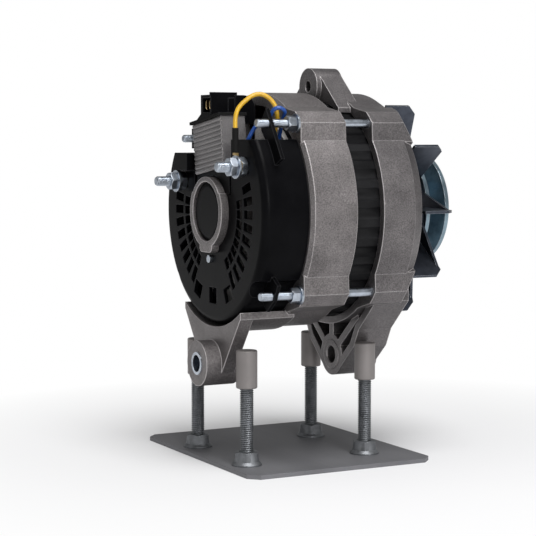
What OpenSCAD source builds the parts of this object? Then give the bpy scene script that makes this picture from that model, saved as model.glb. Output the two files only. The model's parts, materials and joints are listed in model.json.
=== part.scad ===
// Foot-mounted claw pole alternator with an external fan, a rear rectifier cover and a finned regulator.
// The origin is on the axis of the foot bores, at the rear face of the front foot.
// +X runs along the shaft towards the pulley, +Z is up and -Y is the battery stud side.

/* [Shaft line and stator] */
// Height of the shaft axis above the foot bore axis
shaft_h = 89.6; // [88:0.2:96]
// Outer radius of the stator stack
stack_r = 65.5; // [64:0.5:66]
// Thickness of the stack behind its slots
core_back = 6.6; // [5:0.2:8]
// Length of the stator stack
stack_len = 24; // [20:1:30]
// Number of winding slots in the stack
slot_n = 36; // [24:6:42]
// Width of a winding slot
slot_w = 3.8; // [3:0.2:4.2]
// Depth of a winding slot behind its tooth tips
slot_depth = 10; // [8:0.5:11]
// How far the end turns stand out of the stack
end_turn_len = 10; // [7:0.5:12]

/* [Drive-end bracket] */
// How far both bracket rings stand out round the stack
ring_rim = 4.5; // [3.5:0.5:6.5]
// Wall of both bracket rings ahead of the stack seat
ring_wall = 7; // [5:0.5:8]
// Length of the drive-end bracket along the shaft
de_len = 28.2; // [26:0.2:32]
// How far the drive-end ring reaches behind the front foot
de_overhang = 5.2; // [4:0.2:8]
// Depth of the stack seat in each bracket
seat_depth = 3.2; // [2:0.2:5]
// Thickness of the end wall of each bracket
end_wall = 5; // [4:0.5:7]
// Length of the tapered front edge of the drive-end ring
taper_len = 7; // [4:0.5:9]
// Radius that the tapered edge loses
taper_drop = 4; // [2:0.5:5]
// Outer radius of the front bearing boss
front_boss_r = 29; // [27:0.5:30]
// Number of air windows in the drive-end wall
de_window_n = 10; // [6:1:12]
// Width of the spokes between the air windows
spoke_w = 7; // [5:0.5:9]

/* [Slip-ring-end bracket] */
// Length of the slip-ring-end ring along the shaft
sre_len = 29.5; // [27:0.5:34]
// Outer radius of the rear bearing boss
rear_boss_r = 21.4; // [20.5:0.1:22]
// How far the boss stands out of the rear cover
boss_proud = 4.7; // [3:0.1:7]
// Number of air windows in the slip-ring-end wall
sre_window_n = 8; // [6:1:10]

/* [Feet and adjusting ear] */
// Radius of the bore in the front foot
foot_bore_r = 5.25; // [4:0.05:6]
// Radius of the front foot boss
front_foot_r = 12.7; // [11:0.1:14]
// Length of the front foot boss
front_foot_len = 25; // [24:0.5:28]
// Radius of the rear foot boss
rear_foot_r = 13.5; // [12:0.5:14.5]
// Length of the rear foot boss
rear_foot_len = 22.3; // [20:0.1:26]
// Clear distance between the two foot bosses
foot_span = 69; // [66:0.5:74]
// Wall thickness of the foot webs
foot_wall = 4.5; // [3.5:0.5:6]
// Half width of the rear foot strap
strap_half_w = 37.5; // [32:0.5:42]
// Height of the adjusting ear's hole above the shaft axis
ear_h = 74; // [73:0.5:78]
// Outer radius of the adjusting ear
ear_r = 11; // [9.5:0.5:12]
// Radius of the tapped hole in the ear, for an M8 thread
ear_bore_r = 3.4; // [3:0.1:4.2]
// Length of the adjusting ear
ear_len = 18; // [14:0.5:22]

/* [Through-studs] */
// Radius of the through-studs
stud_r = 2.5; // [2:0.1:3]
// Gap between the stack and the through-studs
stud_gap = 4; // [3:0.2:6]
// Angle of the upper studs from the top
stud_top_angle = 44.5; // [40:0.5:50]
// Angle of the lower studs from the top
stud_low_angle = 130; // [125:0.5:135]
// How far the two near studs reach behind the slip-ring-end bracket
stud_tail = 25.8; // [24:0.1:30]
// How far the two far studs reach behind the slip-ring-end bracket
far_stud_tail = 10.2; // [8:0.1:24]
// Width across the flats of the stud nuts
stud_nut_af = 8; // [8:0.1:10]
// Height of the stud nuts
stud_nut_h = 5.4; // [4:0.2:7]

/* [Rear cover] */
// Step from the bracket ring down to the rear cover
cover_step = 3.7; // [2.8:0.1:5]
// Depth of the rear cover
cover_len = 28.5; // [27:0.1:32]
// Wall of the rear cover
cover_wall = 2.2; // [1.6:0.1:3]
// Radius of the cover's rear edge
cover_edge_r = 4; // [2:0.5:6]
// Radius of the scallops round the through-studs
scallop_r = 8.8; // [7:0.1:9.5]
// Pitch angle of the vent slots
vent_pitch = 9.4; // [9:0.2:10]
// Inner radius of the outer row of vents
vent_outer_r = 40.8; // [39.8:0.2:42]
// Radial length of the outer vents
vent_outer_len = 11; // [7:0.5:12]
// Inner radius of the inner row of vents
vent_inner_r = 31.5; // [28:0.5:32]
// Radial length of the inner vents
vent_inner_len = 7; // [4:0.5:7.5]
// Width of a vent slot
vent_w = 5; // [3:0.1:5]

/* [Rotor] */
// Air gap between the rotor and the stator bore
air_gap = 0.4; // [0.3:0.05:0.8]
// Number of claws on each pole half
claw_n = 6; // [4:1:8]
// Overall length of the two pole halves
pole_len = 46; // [42:1:50]
// Thickness of each pole disc
pole_disc = 10; // [8:0.5:12]
// Thickness of a claw at its root
claw_root = 9; // [6:0.5:10]
// Thickness of a claw at its tip
claw_tip = 4; // [2.5:0.5:6]
// Radius of the rotor core between the pole discs
core_r = 24; // [20:0.5:26]
// Radius of the shaft in the front bearing
shaft_r = 8.5; // [8:0.5:10]
// Radius of the shaft in the rear bearing
tail_r = 7.5; // [6:0.5:8]
// Outer radius of the slip rings
slip_ring_r = 13.5; // [12.5:0.1:14]
// Width of a slip ring
slip_ring_w = 5; // [4:0.2:5.4]

/* [Bearings] */
// Outer radius of the front bearing
front_brg_r = 23.5; // [22:0.5:25]
// Width of the front bearing
front_brg_w = 14; // [12:0.5:15]
// Outer radius of the rear bearing
rear_brg_r = 17.5; // [16.5:0.1:18]
// Width of the rear bearing
rear_brg_w = 11; // [9:0.5:12]

/* [Fan and pulley] */
// Distance from the drive-end bracket to the fan disc
fan_reach = 22.4; // [20:0.2:26]
// Number of fan blades
blade_n = 10; // [8:1:12]
// Outer radius of the fan blades
blade_r = 66; // [56:0.5:68]
// Depth of the fan blades along the shaft
blade_depth = 21.4; // [14:0.2:22]
// Sheet thickness of the fan
fan_t = 1.6; // [1:0.1:2.5]
// Outer radius of the pulley
pulley_r = 33.5; // [30:0.5:36]
// Sheet thickness of the pulley halves
pulley_t = 2.5; // [2:0.1:3]
// Angle between the two faces of the belt groove
groove_angle = 36; // [32:1:40]
// Width of the belt groove at its mouth
groove_w = 11; // [10:0.5:13]

/* [Regulator and brushes] */
// Width of the finned regulator block
reg_w = 38; // [34:0.5:42]
// Height of the finned regulator block
reg_h = 30; // [27:0.5:32]
// Depth of the finned regulator block
reg_d = 16; // [12:0.5:18]
// Lean of the regulator block about the shaft line
reg_lean = 8; // [0:1:10]
// Number of ridges on the regulator block
fin_n = 11; // [8:1:13]
// Thickness of the gasket plate on the regulator block
gasket_t = 1.8; // [1:0.1:3]
// Width of a brush across the shaft
brush_y = 7.6; // [6:0.2:8]
// Length of a brush
brush_len = 14; // [10:0.5:16]
// Running clearance of a brush in its pocket
brush_gap = 0.2; // [0.1:0.05:0.3]

/* [Rectifier] */
// Thickness of the rectifier heat sinks
sink_t = 3; // [2:0.5:4]
// Gap between the rectifier heat sinks and the wall of the rear cover
sink_room = 5.1; // [4:0.1:8]
// Distance between the two heat sinks
sink_gap = 8; // [7:0.5:9]
// Radius of a pressed diode
diode_r = 6.3; // [5:0.1:6.5]
// Radius of the terminal studs
term_r = 3; // [2.5:0.1:3.5]
// Width across the flats of the terminal nuts
term_nut_af = 10; // [9:0.1:11]
// Height of the terminal nuts
term_nut_h = 4.6; // [3.5:0.1:5]

/* [Hidden] */
// Clearance between pieces that are fitted together and don't move
fit = 0.05;
// Gap between pieces that pass each other
gap = 0.3;
// Roundness of turned surfaces
$fn = 96;

// Sizes across the stack that follow from its outer radius
tooth_tip = 1.4;
stack_bore_r = stack_r - core_back - slot_depth - tooth_tip;
ring_r = stack_r + ring_rim;
stud_circle_r = stack_r + stud_gap + stud_r;
cover_r = ring_r - cover_step;
sink_r = cover_r - cover_wall - sink_room;

// Places along the shaft, from the stack outwards
ring_rear_x = -de_overhang;
stack_front_x = ring_rear_x + seat_depth;
stack_rear_x = stack_front_x - stack_len;
sre_front_x = stack_rear_x + seat_depth;
sre_rear_x = sre_front_x - sre_len;
cover_rear_x = sre_rear_x - cover_len;
boss_rear_x = cover_rear_x - boss_proud;
de_front_x = ring_rear_x + de_len;
de_wall_x = de_front_x - end_wall;
rear_foot_front_x = -foot_span;
rear_foot_rear_x = rear_foot_front_x - rear_foot_len;

// Brackets
seat_r = stack_r + fit;
ring_in_r = ring_r - ring_wall;
taper_x = de_front_x - taper_len;
lug_r = stud_circle_r + 4.3;
lug_lead = 16;
lug_tail = 9.5;
lug_corner = [4.3, -2.6];
stud_angles = [stud_top_angle, stud_low_angle, -stud_low_angle, -stud_top_angle];
lug_lean = [1, -1, 1, -1];
window_in_r = 33;
window_out_r = ring_in_r - 4;
saddle_z = 11;
saddle_r = rear_boss_r - 1;
boss_tab_h = 24;
boss_tab_w = 16;
boss_tab_corner = 3;
sre_window_in_r = rear_boss_r + 6;
sre_window_out_r = ring_in_r - 0.5;
sre_spoke_angle = 22.5;

// Feet
web_sink = 0.4;
front_foot_side = [[52, -46], [52, -53], [32.6, -71.4], [26.8, -82.3]];
rear_foot_side = [[strap_half_w, -56], [strap_half_w, -60.5]];
rib_lean = 27;
strap_out_r = ring_r + 1.5;
strap_in_r = strap_out_r - 3.5;
foot_plate_t = 5;
foot_flange_t = 8.5;
bush_r = 6.75;
bush_bore_r = 5;
bush_len = rear_foot_len + 1;

foot_plate_x = rear_foot_rear_x + 9.8;

// Adjusting ear
ear_front_x = ring_rear_x + 6.5;
ear_rear_x = ear_front_x - ear_len;
ear_web_x = ear_rear_x + 3.2;
ear_web_foot = [31, 61];

// Rotor
rotor_mid_x = (stack_front_x + stack_rear_x) / 2;
rotor_r = stack_bore_r - air_gap;
pole_rear_x = rotor_mid_x - pole_len / 2;
pole_front_x = rotor_mid_x + pole_len / 2;
claw_pitch = 360 / claw_n;
claw_slit = 4.6;
claw_mid_w = PI * rotor_r / claw_n - claw_slit;
claw_taper = 8;
claw_tip_gap = 4;
claw_root_in_r = 30;
core_shaft_r = 10;
shoulder_r = 12;
spacer_r = 13;
coil_r = rotor_r - claw_root - 0.8;
bobbin_wall = 1.4;

// Stator details
slot_mouth = 2;
slot_liner = 0.2;
flute_r = 4.5;
flute_depth = 1.6;
stud_washer_t = 1.1;
stud_washer_r = 5.6;

// Rear cover details
post_r = 4;
post_at = [2.4, -28.2];
post_seat_r = post_r + 2;
cover_screw_r = 1.25;
cover_screw_head_r = 2.3;
cover_screw_head_h = 1.8;
cover_ear_x = cover_rear_x + 9.8;
cover_ear_in_r = cover_r - 6;
cover_ear_tip_r = stud_circle_r + 5.5;
cover_ear_out_r = stud_circle_r + 2.7;
cover_block_t = 5.5;
cover_block_at = [24, 23.7];
cover_block_foot_y = 44;
cover_block_top_y = 41;
cover_block_h = 10.2;
cover_block_corner = 4;
mouth_half_y = 24.5;
mouth_near_z = 42.3;
mouth_far_z = 34;
vent_first_angle = 71.5;
vent_inner_first_angle = 81.3;
low_window_w = 10;
low_window_angle = 157;
low_window_r = 47;
low_window_mid_r = 45;

// Bearings
retainer_t = 1.8;
retainer_screw_at = front_brg_r + 2.8;
retainer_screw_r = 1.5;
retainer_screw_len = 9.3;
retainer_in_r = front_brg_r - 4;
retainer_screw_angles = [45, 135, -135, -45];
retainer_gap = 1.7;
front_brg_x = pole_front_x + retainer_gap + retainer_t;
front_brg_end_x = front_brg_x + front_brg_w;
front_boss_x = front_brg_end_x + 2.5;
cap_in = 1.2;
cap_len = 6.3;
rear_brg_x = boss_rear_x + cap_in + cap_len + 0.5;
rear_brg_end_x = rear_brg_x + rear_brg_w;
front_race_t = 3.4;
rear_race_t = 2.6;
race_groove = 0.5;
ball_gap = 0.2;
cage_gap = 0.15;
cage_edge = 0.9;
front_ball_n = 8;
rear_ball_n = 8;

// Slip rings and brushes
slip_gap = 1.2;
slip_seat_r = 11;
spring_r = 1.6;
blue_foot_z = 27.3;
slip_x = [rear_brg_end_x + 1.5, rear_brg_end_x + 1.5 + slip_ring_w + slip_gap];
sleeve_x = slip_x[0] - 0.8;
sleeve_end_x = slip_x[1] + slip_ring_w + 0.8;
brush_x_len = slip_ring_w - 0.8;
brush_z = slip_ring_r + gap;
brush_travel = 5;
pocket_top_z = brush_z + brush_len + brush_travel + 5.5;
chute_x = slip_x[0] + slip_ring_w / 2 - brush_x_len / 2 - brush_gap - 1.1;
chute_end_x = sre_rear_x - 0.2;
chute_half_y = brush_y / 2 + brush_gap + 2.4;
chute_z = slip_ring_r + 0.9;
chute_top_z = pocket_top_z + 2;

// Rectifier
neg_sink_x = sre_rear_x - sink_t;
pos_sink_x = neg_sink_x - sink_gap - sink_t;
sink_in_r = 25;
sink_mouth_y = 26.5;
sink_screw_r = 54;
sink_screw_shank_r = 2;
sink_screw_angles = [for (k = [3, 7, -7, -3]) k * sre_spoke_angle];
pos_diode_angles = [102, 126, -164];
neg_diode_angles = [-102, -126, 174];
diode_circle_r = 44;
battery_at = [-41.7, 26.8];
ground_at = [39.4, 17];
phase_at = [30, 42.7];
battery_tip_x = boss_rear_x - 13.2;
ground_tip_x = boss_rear_x - 14.3;
phase_r = 2.3;
phase_tip_x = boss_rear_x - 0.5;
term_bush_r = term_r + 2.2;
ring_term_t = 1;
tag_h = 3.4;
lead_gap = 0.3;
term_washer_t = 1.2;
term_washer_r = term_nut_af / 2 + 1.6;
term_neck_r = term_r - 0.35;
term_neck_len = 0.6;
term_lock_h = term_nut_h - 0.8;
term_nuts_x = cover_rear_x - term_lock_h - ring_term_t - term_washer_t - term_nut_h;
phase_block_size = [13, 12];
phase_block_near = 2.6;

// Regulator and its connector
reg_mid_y = 3;
reg_mid_z = 38.6;
reg_rear_x = cover_rear_x - 1.8;
fin_pitch = reg_h / fin_n;
holder_rear_x = cover_rear_x - 0.4;
holder_half_y = 23;
gasket_front_x = reg_rear_x + reg_d + 1;
connector_near = -1.7;
connector_far = 12;
connector_foot_far = 18.6;
connector_inset = 0.8;
connector_base_z = 57.2;
connector_top_z = 68.4;
connector_rear_x = reg_rear_x;
connector_front_x = connector_rear_x + 16.8;
connector_plate_t = 1;
connector_plate_z = 69.9;
connector_rib_x = [connector_front_x - 5.6, connector_front_x - 1.5];
socket_y = [-0.7, 9.4];
socket_z = [58.2, 66.6];
socket_depth = 8;
contact_t = 0.8;
contact_z = [59, 66];
contact_y = [0.1, 4.9];
contact_corner = 2.4;
hump_near = -2.5;
hump_far = 9.5;
hump_foot_z = 51.3;
hump_top_z = 68.3;
hump_r = 8;
hump_end_x = chute_end_x - 1.3;

// Fan and pulley
fan_x = de_front_x + fan_reach;
fan_front_x = fan_x + fan_t;
blade_rear_x = fan_front_x - blade_depth;
fan_hub_r = 31;
fan_tip_r = blade_r - 5;
fan_chamfer = 5;
blade_first_angle = 19;
arm_set = 0.8;
shaft_front_r = shaft_r - 0.5;
pulley_mid_x = fan_front_x + pulley_t + groove_w / 2 + gap;
pulley_hub_r = pulley_r - groove_w / 2 / tan(groove_angle / 2);
pulley_front_x = pulley_mid_x + 3;
pulley_washer_t = 2.5;
pulley_nut_h = 10;
pulley_nut_af = 24;
shaft_end_x = pulley_front_x + pulley_washer_t + pulley_nut_h + 2;
key_w = 4;
key_top = shaft_r + 2;
key_foot = shaft_r - 2;

// Route of the yellow lead, measured from the shaft axis
yellow_r = 1.3;
yellow_path = [
    [-86, -40.6, 34.8], [-86, -40.6, 40], [-86, -40.6, 47.6], [-86, -40.4, 50.8], [-85.7, -40.2, 54.4],
    [-84.4, -40.1, 58.8], [-82.2, -40.2, 61.8], [-79.2, -40.5, 64.4],
    [-75.8, -41, 66.8], [-72.2, -41.6, 67.9],
    [-69.6, -42.4, 67.7], [-67.2, -43.2, 66.5], [-65.2, -44, 64.8],
    [-63.7, -44.7, 62.6], [-62.6, -45.1, 60],
    [-61.7, -45, 57], [-61, -43.8, 53.4], [-61, -41.6, 48], [-61.6, -39.4, 42.6], [-62, -38, 38.6],
    [-62, -37.6, 36]
];
sleeve_len = 14;
sleeve_out_r = 1.8;
// Route of the blue lead, measured from the shaft axis
blue_r = 1.15;
blue_path = [
    [-76, -20.8, 27.4], [-76, -21, 29], [-76.1, -23.4, 33], [-76.2, -28, 36.8], [-76.2, -32.6, 39.6],
    [-75.4, -36.2, 42.8], [-73.6, -37.2, 46.6], [-71.6, -37.6, 49.6],
    [-69.8, -38.4, 51.2], [-68.2, -40.2, 52.2],
    [-66.4, -42.4, 53.4], [-65.6, -44.4, 55.8], [-65.2, -46.2, 58.2],
    [-64, -47.5, 59.8], [-61.8, -48.3, 60.2],
    [-59.6, -48.6, 59.2], [-58.2, -47.8, 57.8], [-57.8, -46, 56.4], [-57.6, -43.8, 53], [-57.5, -41.2, 47],
    [-57.5, -38.8, 41.4], [-57.5, -37.9, 38.4], [-57.5, -37.8, 36]
];

// Places a shape that is drawn in the cross-section, with Y to the right and Z up, along the shaft
module along_shaft(x0, x1) {
    translate([x0, 0, shaft_h])
        rotate([90, 0, 90])
            linear_extrude(x1 - x0)
                children();
}

// Turns a profile of radius and X place about the shaft
module turned() {
    translate([0, 0, shaft_h])
        rotate([0, 90, 0])
            rotate_extrude()
                children();
}

// A plain turned ring
module turned_ring(x0, x1, r0, r1) {
    turned()
        translate([r0, x0])
            square([r1 - r0, x1 - x0]);
}

// Turns a piece about the shaft, from the top towards the battery stud side
module around(angle) {
    translate([0, 0, shaft_h])
        rotate([angle, 0, 0])
            translate([0, 0, -shaft_h])
                children();
}

// A round bar parallel to the shaft at a place in the cross-section
module bar(x0, x1, r, at = [0, 0]) {
    translate([x0, at[0], shaft_h + at[1]])
        rotate([0, 90, 0])
            cylinder(h = x1 - x0, r = r, $fn = 48);
}

// A hexagon nut parallel to the shaft
module hex_nut(x0, x1, af, bore_r, at, angle = 0) {
    corner_r = af / 2 / cos(30);
    difference() {
        intersection() {
            translate([x0, at[0], shaft_h + at[1]])
                rotate([0, 90, 0])
                    rotate([0, 0, angle])
                        cylinder(h = x1 - x0, r = corner_r, $fn = 6);
            translate([x0, at[0], shaft_h + at[1]])
                rotate([0, 90, 0])
                    rotate_extrude($fn = 48)
                        polygon([
                            [0, 0], [af / 2 - 0.1, 0], [corner_r + 0.1, 0.9], [corner_r + 0.1, x1 - x0 - 0.9],
                            [af / 2 - 0.1, x1 - x0], [0, x1 - x0]
                        ]);
        }
        bar(x0 - 1, x1 + 1, bore_r, at);
    }
}

// Place in the cross-section at a radius and an angle from the top towards the battery stud side
function polar(r, a) = [-r * sin(a), r * cos(a)];

// Place where a line from p touches a circle: side 1 turns left of the line to its centre, -1 right
function touch(p, c, r, side) =
    let (lean = atan2(p[1] - c[1], p[0] - c[0]) + side * acos(r / norm(p - c)))
    [c[0] + r * cos(lean), c[1] + r * sin(lean)];

// Flat strip between two places in the cross-section, running past both by the length over
module strip(p, q, w, over = 0) {
    d = q - p;
    translate(p)
        rotate(atan2(d[1], d[0]))
            translate([-over, -w / 2])
                square([norm(d) + 2 * over, w]);
}

// Air windows between spokes
module windows(r0, r1, n, turn = 0) {
    difference() {
        circle(r1);
        circle(r0);
        for (i = [0 : n - 1])
            rotate(turn + i * 360 / n)
                translate([0, -spoke_w / 2])
                    square([r1 + 1, spoke_w]);
    }
}

// Outline of a stud lug: two flats that meet outside the stud and run out on the ring
module lug_outline(i) {
    a = stud_angles[i];
    s = lug_lean[i];
    polygon([
        polar(ring_in_r + 1, a - s * lug_lead), polar(ring_r - 0.4, a - s * lug_lead),
        polar(lug_r, a - s * lug_corner[0]), polar(lug_r, a - s * lug_corner[1]),
        polar(ring_r - 0.4, a + s * lug_tail), polar(ring_in_r + 1, a + s * lug_tail)
    ]);
}

// Holes for the four through-studs
module stud_holes(x0, x1, r) {
    for (a = stud_angles)
        bar(x0, x1, r, polar(stud_circle_r, a));
}

// Outline that both feet share, from the ring down to the bore boss
module foot_outline(side, boss_r) {
    last = touch(side[len(side) - 1], [0, -shaft_h], boss_r - web_sink, -1);
    right = concat(side, [last]);
    polygon(concat(right, [for (i = [len(right) - 1 : -1 : 0]) [-right[i][0], right[i][1]]]));
}

// Walls that follow both sides of a foot's outline
module foot_walls(side, boss_r, w) {
    last = touch(side[len(side) - 1], [0, -shaft_h], boss_r - web_sink, -1);
    right = concat(side, [last]);
    intersection() {
        foot_outline(side, boss_r);
        for (m = [0, 1])
            mirror([m, 0])
                for (i = [0 : len(right) - 2])
                    strip(right[i], right[i + 1], 2 * w, 1);
    }
}

module drive_end_bracket() {
    color("silver")
        difference() {
            union() {
                turned()
                    polygon([
                        [seat_r, ring_rear_x], [ring_r, ring_rear_x], [ring_r, taper_x],
                        [ring_r - taper_drop, de_front_x], [front_boss_r - 1, de_front_x],
                        [front_boss_r - 1, de_wall_x], [ring_in_r, de_wall_x],
                        [ring_in_r, stack_front_x], [seat_r, stack_front_x]
                    ]);
                turned()
                    polygon([
                        [front_brg_r - 4, front_brg_x], [front_boss_r, front_brg_x],
                        [front_boss_r, front_boss_x - 1.5], [front_boss_r - 1.5, front_boss_x],
                        [front_brg_r - 4, front_boss_x]
                    ]);
                bracket_lugs(ring_rear_x, de_front_x, taper_x);
                front_foot();
                adjusting_ear();
            }
            turned_ring(ear_rear_x - 1, stack_front_x, 0, seat_r);
            turned_ring(stack_front_x - 1, de_wall_x, 0, ring_in_r);
            turned_ring(front_brg_x - 1, front_brg_end_x, 0, front_brg_r + fit);
            along_shaft(de_wall_x - 1, de_front_x + 1)
                windows(window_in_r, window_out_r, de_window_n, 90);
            stud_holes(ring_rear_x - 1, taper_x - 2, stud_r + fit);
            bar(-1, front_foot_len + 1, foot_bore_r, [0, -shaft_h]);
            bar(ear_rear_x - 1, ear_front_x + 1, ear_bore_r, [0, ear_h]);
            for (a = retainer_screw_angles)
                bar(front_brg_x - 1, front_brg_x + 8, retainer_screw_r + fit, polar(retainer_screw_at, a));
        }
}

// Lugs of a bracket, cut back in front by the same taper as its ring
module bracket_lugs(x0, x1, bend_x) {
    intersection() {
        along_shaft(x0, x1)
            for (i = [0 : 3])
                lug_outline(i);
        turned()
            polygon([
                [0, x0 - 1], [lug_r + 5, x0 - 1], [lug_r + 0.4, bend_x],
                [lug_r + 0.4 - 2 * taper_drop, de_front_x], [0, de_front_x]
            ]);
    }
}

// Front foot: web, side walls and ribs from the ring down to the bore boss
module front_foot() {
    along_shaft(de_wall_x, de_front_x)
        difference() {
            foot_outline(front_foot_side, front_foot_r);
            circle(ring_in_r + 1);
        }
    along_shaft(0, de_front_x)
        difference() {
            union() {
                foot_walls(front_foot_side, front_foot_r, foot_wall);
                for (lean = [-rib_lean, 0, rib_lean])
                    strip([0, -shaft_h], polar(ring_r, 180 + lean), foot_wall);
            }
            circle(ring_r - 1);
        }
    bar(0, front_foot_len, front_foot_r, [0, -shaft_h]);
}

// Adjusting ear: a tapped boss on a web that runs out on the ring
module adjusting_ear() {
    crest = touch(ear_web_foot, [0, ear_h], ear_r - web_sink, 1);
    bar(ear_rear_x, ear_front_x, ear_r, [0, ear_h]);
    difference() {
        along_shaft(ear_web_x, ear_front_x)
            polygon([
                ear_web_foot, crest, [-crest[0], crest[1]], [-ear_web_foot[0], ear_web_foot[1]],
                [-ear_web_foot[0], ear_web_foot[1] - 4], [0, ring_in_r + 3],
                [ear_web_foot[0], ear_web_foot[1] - 4]
            ]);
        turned_ring(ear_web_x - 1, stack_front_x, 0, seat_r + gap);
    }
}

module slip_ring_end_bracket() {
    color("silver")
        difference() {
            union() {
                turned()
                    polygon([
                        [seat_r, sre_front_x], [ring_r, sre_front_x], [ring_r, sre_rear_x + 2],
                        [ring_r - 2, sre_rear_x], [rear_boss_r - 2, sre_rear_x],
                        [rear_boss_r - 2, sre_rear_x + end_wall], [ring_in_r, sre_rear_x + end_wall],
                        [ring_in_r, stack_rear_x], [seat_r, stack_rear_x]
                    ]);
                difference() {
                    turned_ring(boss_rear_x, sre_rear_x + end_wall - 0.5, rear_brg_r - 1, rear_boss_r);
                    intersection() {
                        turned_ring(boss_rear_x - 1, sre_rear_x, saddle_r, rear_boss_r + 2);
                        translate([boss_rear_x - 1, -holder_half_y, shaft_h + saddle_z])
                            cube([sre_rear_x - boss_rear_x + 1, 2 * holder_half_y, holder_half_y]);
                    }
                }
                along_shaft(boss_rear_x, rear_brg_end_x)
                    boss_tab_outline(0);
                bar(cover_rear_x + cover_wall, sre_rear_x + 1, post_r, post_at);
                along_shaft(sre_rear_x, sre_front_x)
                    for (i = [0 : 3])
                        lug_outline(i);
                rear_foot();
            }
            turned_ring(stack_rear_x, sre_front_x + 1, 0, seat_r);
            turned_ring(sre_rear_x + end_wall, stack_rear_x + 1, 0, ring_in_r);
            turned_ring(boss_rear_x - 1, sre_rear_x + end_wall + 1, 0, rear_brg_r + fit);
            along_shaft(sre_rear_x - 1, sre_rear_x + end_wall + 1)
                windows(sre_window_in_r, sre_window_out_r, sre_window_n, 90 + sre_spoke_angle);
            translate([chute_x - gap, -chute_half_y - gap, shaft_h])
                cube([sre_rear_x - chute_x + gap, 2 * (chute_half_y + gap), rear_boss_r + 5]);
            stud_holes(sre_rear_x - 1, sre_front_x + 1, stud_r + gap);
            bar(rear_foot_rear_x - 1, rear_foot_front_x + 1, bush_r + fit, [0, -shaft_h]);
            bar(cover_rear_x, cover_rear_x + 12, cover_screw_r + fit, post_at);
            for (a = sink_screw_angles)
                bar(sre_rear_x - 1, sre_rear_x + 4, sink_screw_shank_r + fit, polar(sink_screw_r, a));
        }
}

// Outline of the tab under the rear boss, grown by the room that is left round it
module boss_tab_outline(room) {
    half_w = boss_tab_w / 2 + room;
    corner_z = -boss_tab_h + boss_tab_corner;
    translate([-half_w, corner_z])
        square([2 * half_w, -corner_z]);
    translate([boss_tab_corner - boss_tab_w / 2, -boss_tab_h - room])
        square([boss_tab_w - 2 * boss_tab_corner, boss_tab_h]);
    for (side = [-1, 1])
        translate([side * (boss_tab_w / 2 - boss_tab_corner), corner_z])
            circle(boss_tab_corner + room, $fn = 48);
}

// Rear foot: a strap under the cover and a flanged plate down to the bush boss
module rear_foot() {
    along_shaft(foot_plate_x, sre_rear_x + 6)
        difference() {
            intersection() {
                circle(strap_out_r);
                translate([-strap_half_w, -strap_out_r])
                    square([2 * strap_half_w, strap_out_r]);
            }
            circle(strap_in_r);
        }
    along_shaft(foot_plate_x, foot_plate_x + foot_plate_t)
        difference() {
            foot_outline(rear_foot_side, rear_foot_r);
            circle(strap_in_r + 0.5);
        }
    along_shaft(foot_plate_x, foot_plate_x + foot_flange_t)
        difference() {
            foot_walls(rear_foot_side, rear_foot_r, foot_wall);
            circle(strap_in_r + 0.5);
        }
    bar(rear_foot_rear_x, rear_foot_front_x, rear_foot_r, [0, -shaft_h]);
}

module stator_core() {
    color("dimgray")
        along_shaft(stack_rear_x, stack_front_x)
            difference() {
                circle(stack_r);
                circle(stack_bore_r);
                for (i = [0 : slot_n - 1])
                    rotate(i * 360 / slot_n) {
                        translate([-slot_w / 2, stack_bore_r + tooth_tip])
                            square([slot_w, slot_depth]);
                        translate([-slot_mouth / 2, stack_bore_r - 1])
                            square([slot_mouth, tooth_tip + 2]);
                        translate([0, stack_r + flute_r - flute_depth])
                            circle(flute_r, $fn = 24);
                    }
            }
}

module stator_windings() {
    bar_w = slot_w - 2 * slot_liner;
    bar_in_r = stack_bore_r + tooth_tip + slot_liner;
    bar_out_r = stack_bore_r + tooth_tip + slot_depth - slot_liner;
    color("orangered") {
        along_shaft(stack_rear_x - 1, stack_front_x + 1)
            for (i = [0 : slot_n - 1])
                rotate(i * 360 / slot_n)
                    translate([-bar_w / 2, bar_in_r])
                        square([bar_w, bar_out_r - bar_in_r]);
        for (side = [0, 1])
            turned()
                translate([bar_in_r, side == 0 ? stack_rear_x - end_turn_len : stack_front_x + slot_liner])
                    end_turn_profile(bar_out_r - bar_in_r + 1.5, end_turn_len - slot_liner);
    }
}

// Section of a bundle of end turns, rounded at its corners
module end_turn_profile(w, h) {
    corner = 2.5;
    translate([corner, 0])
        square([w - 2 * corner, h]);
    translate([0, corner])
        square([w, h - 2 * corner]);
    for (at = [[corner, corner], [w - corner, corner], [corner, h - corner], [w - corner, h - corner]])
        translate(at)
            circle(corner, $fn = 24);
}

module through_studs() {
    color("gainsboro")
        for (i = [0 : 3])
            bar(sre_rear_x - (i < 2 ? stud_tail : far_stud_tail), taper_x - 3, stud_r,
                polar(stud_circle_r, stud_angles[i]));
}

module stud_nuts() {
    x1 = sre_rear_x - stud_washer_t;
    color("gainsboro")
        for (a = stud_angles)
            hex_nut(x1 - stud_nut_h, x1, stud_nut_af, stud_r + fit, polar(stud_circle_r, a), a);
}

module stud_washers() {
    color("gainsboro")
        difference() {
            stud_holes(sre_rear_x - stud_washer_t, sre_rear_x, stud_washer_r);
            stud_holes(sre_rear_x - stud_washer_t - 1, sre_rear_x + 1, stud_r + fit);
        }
}

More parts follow.
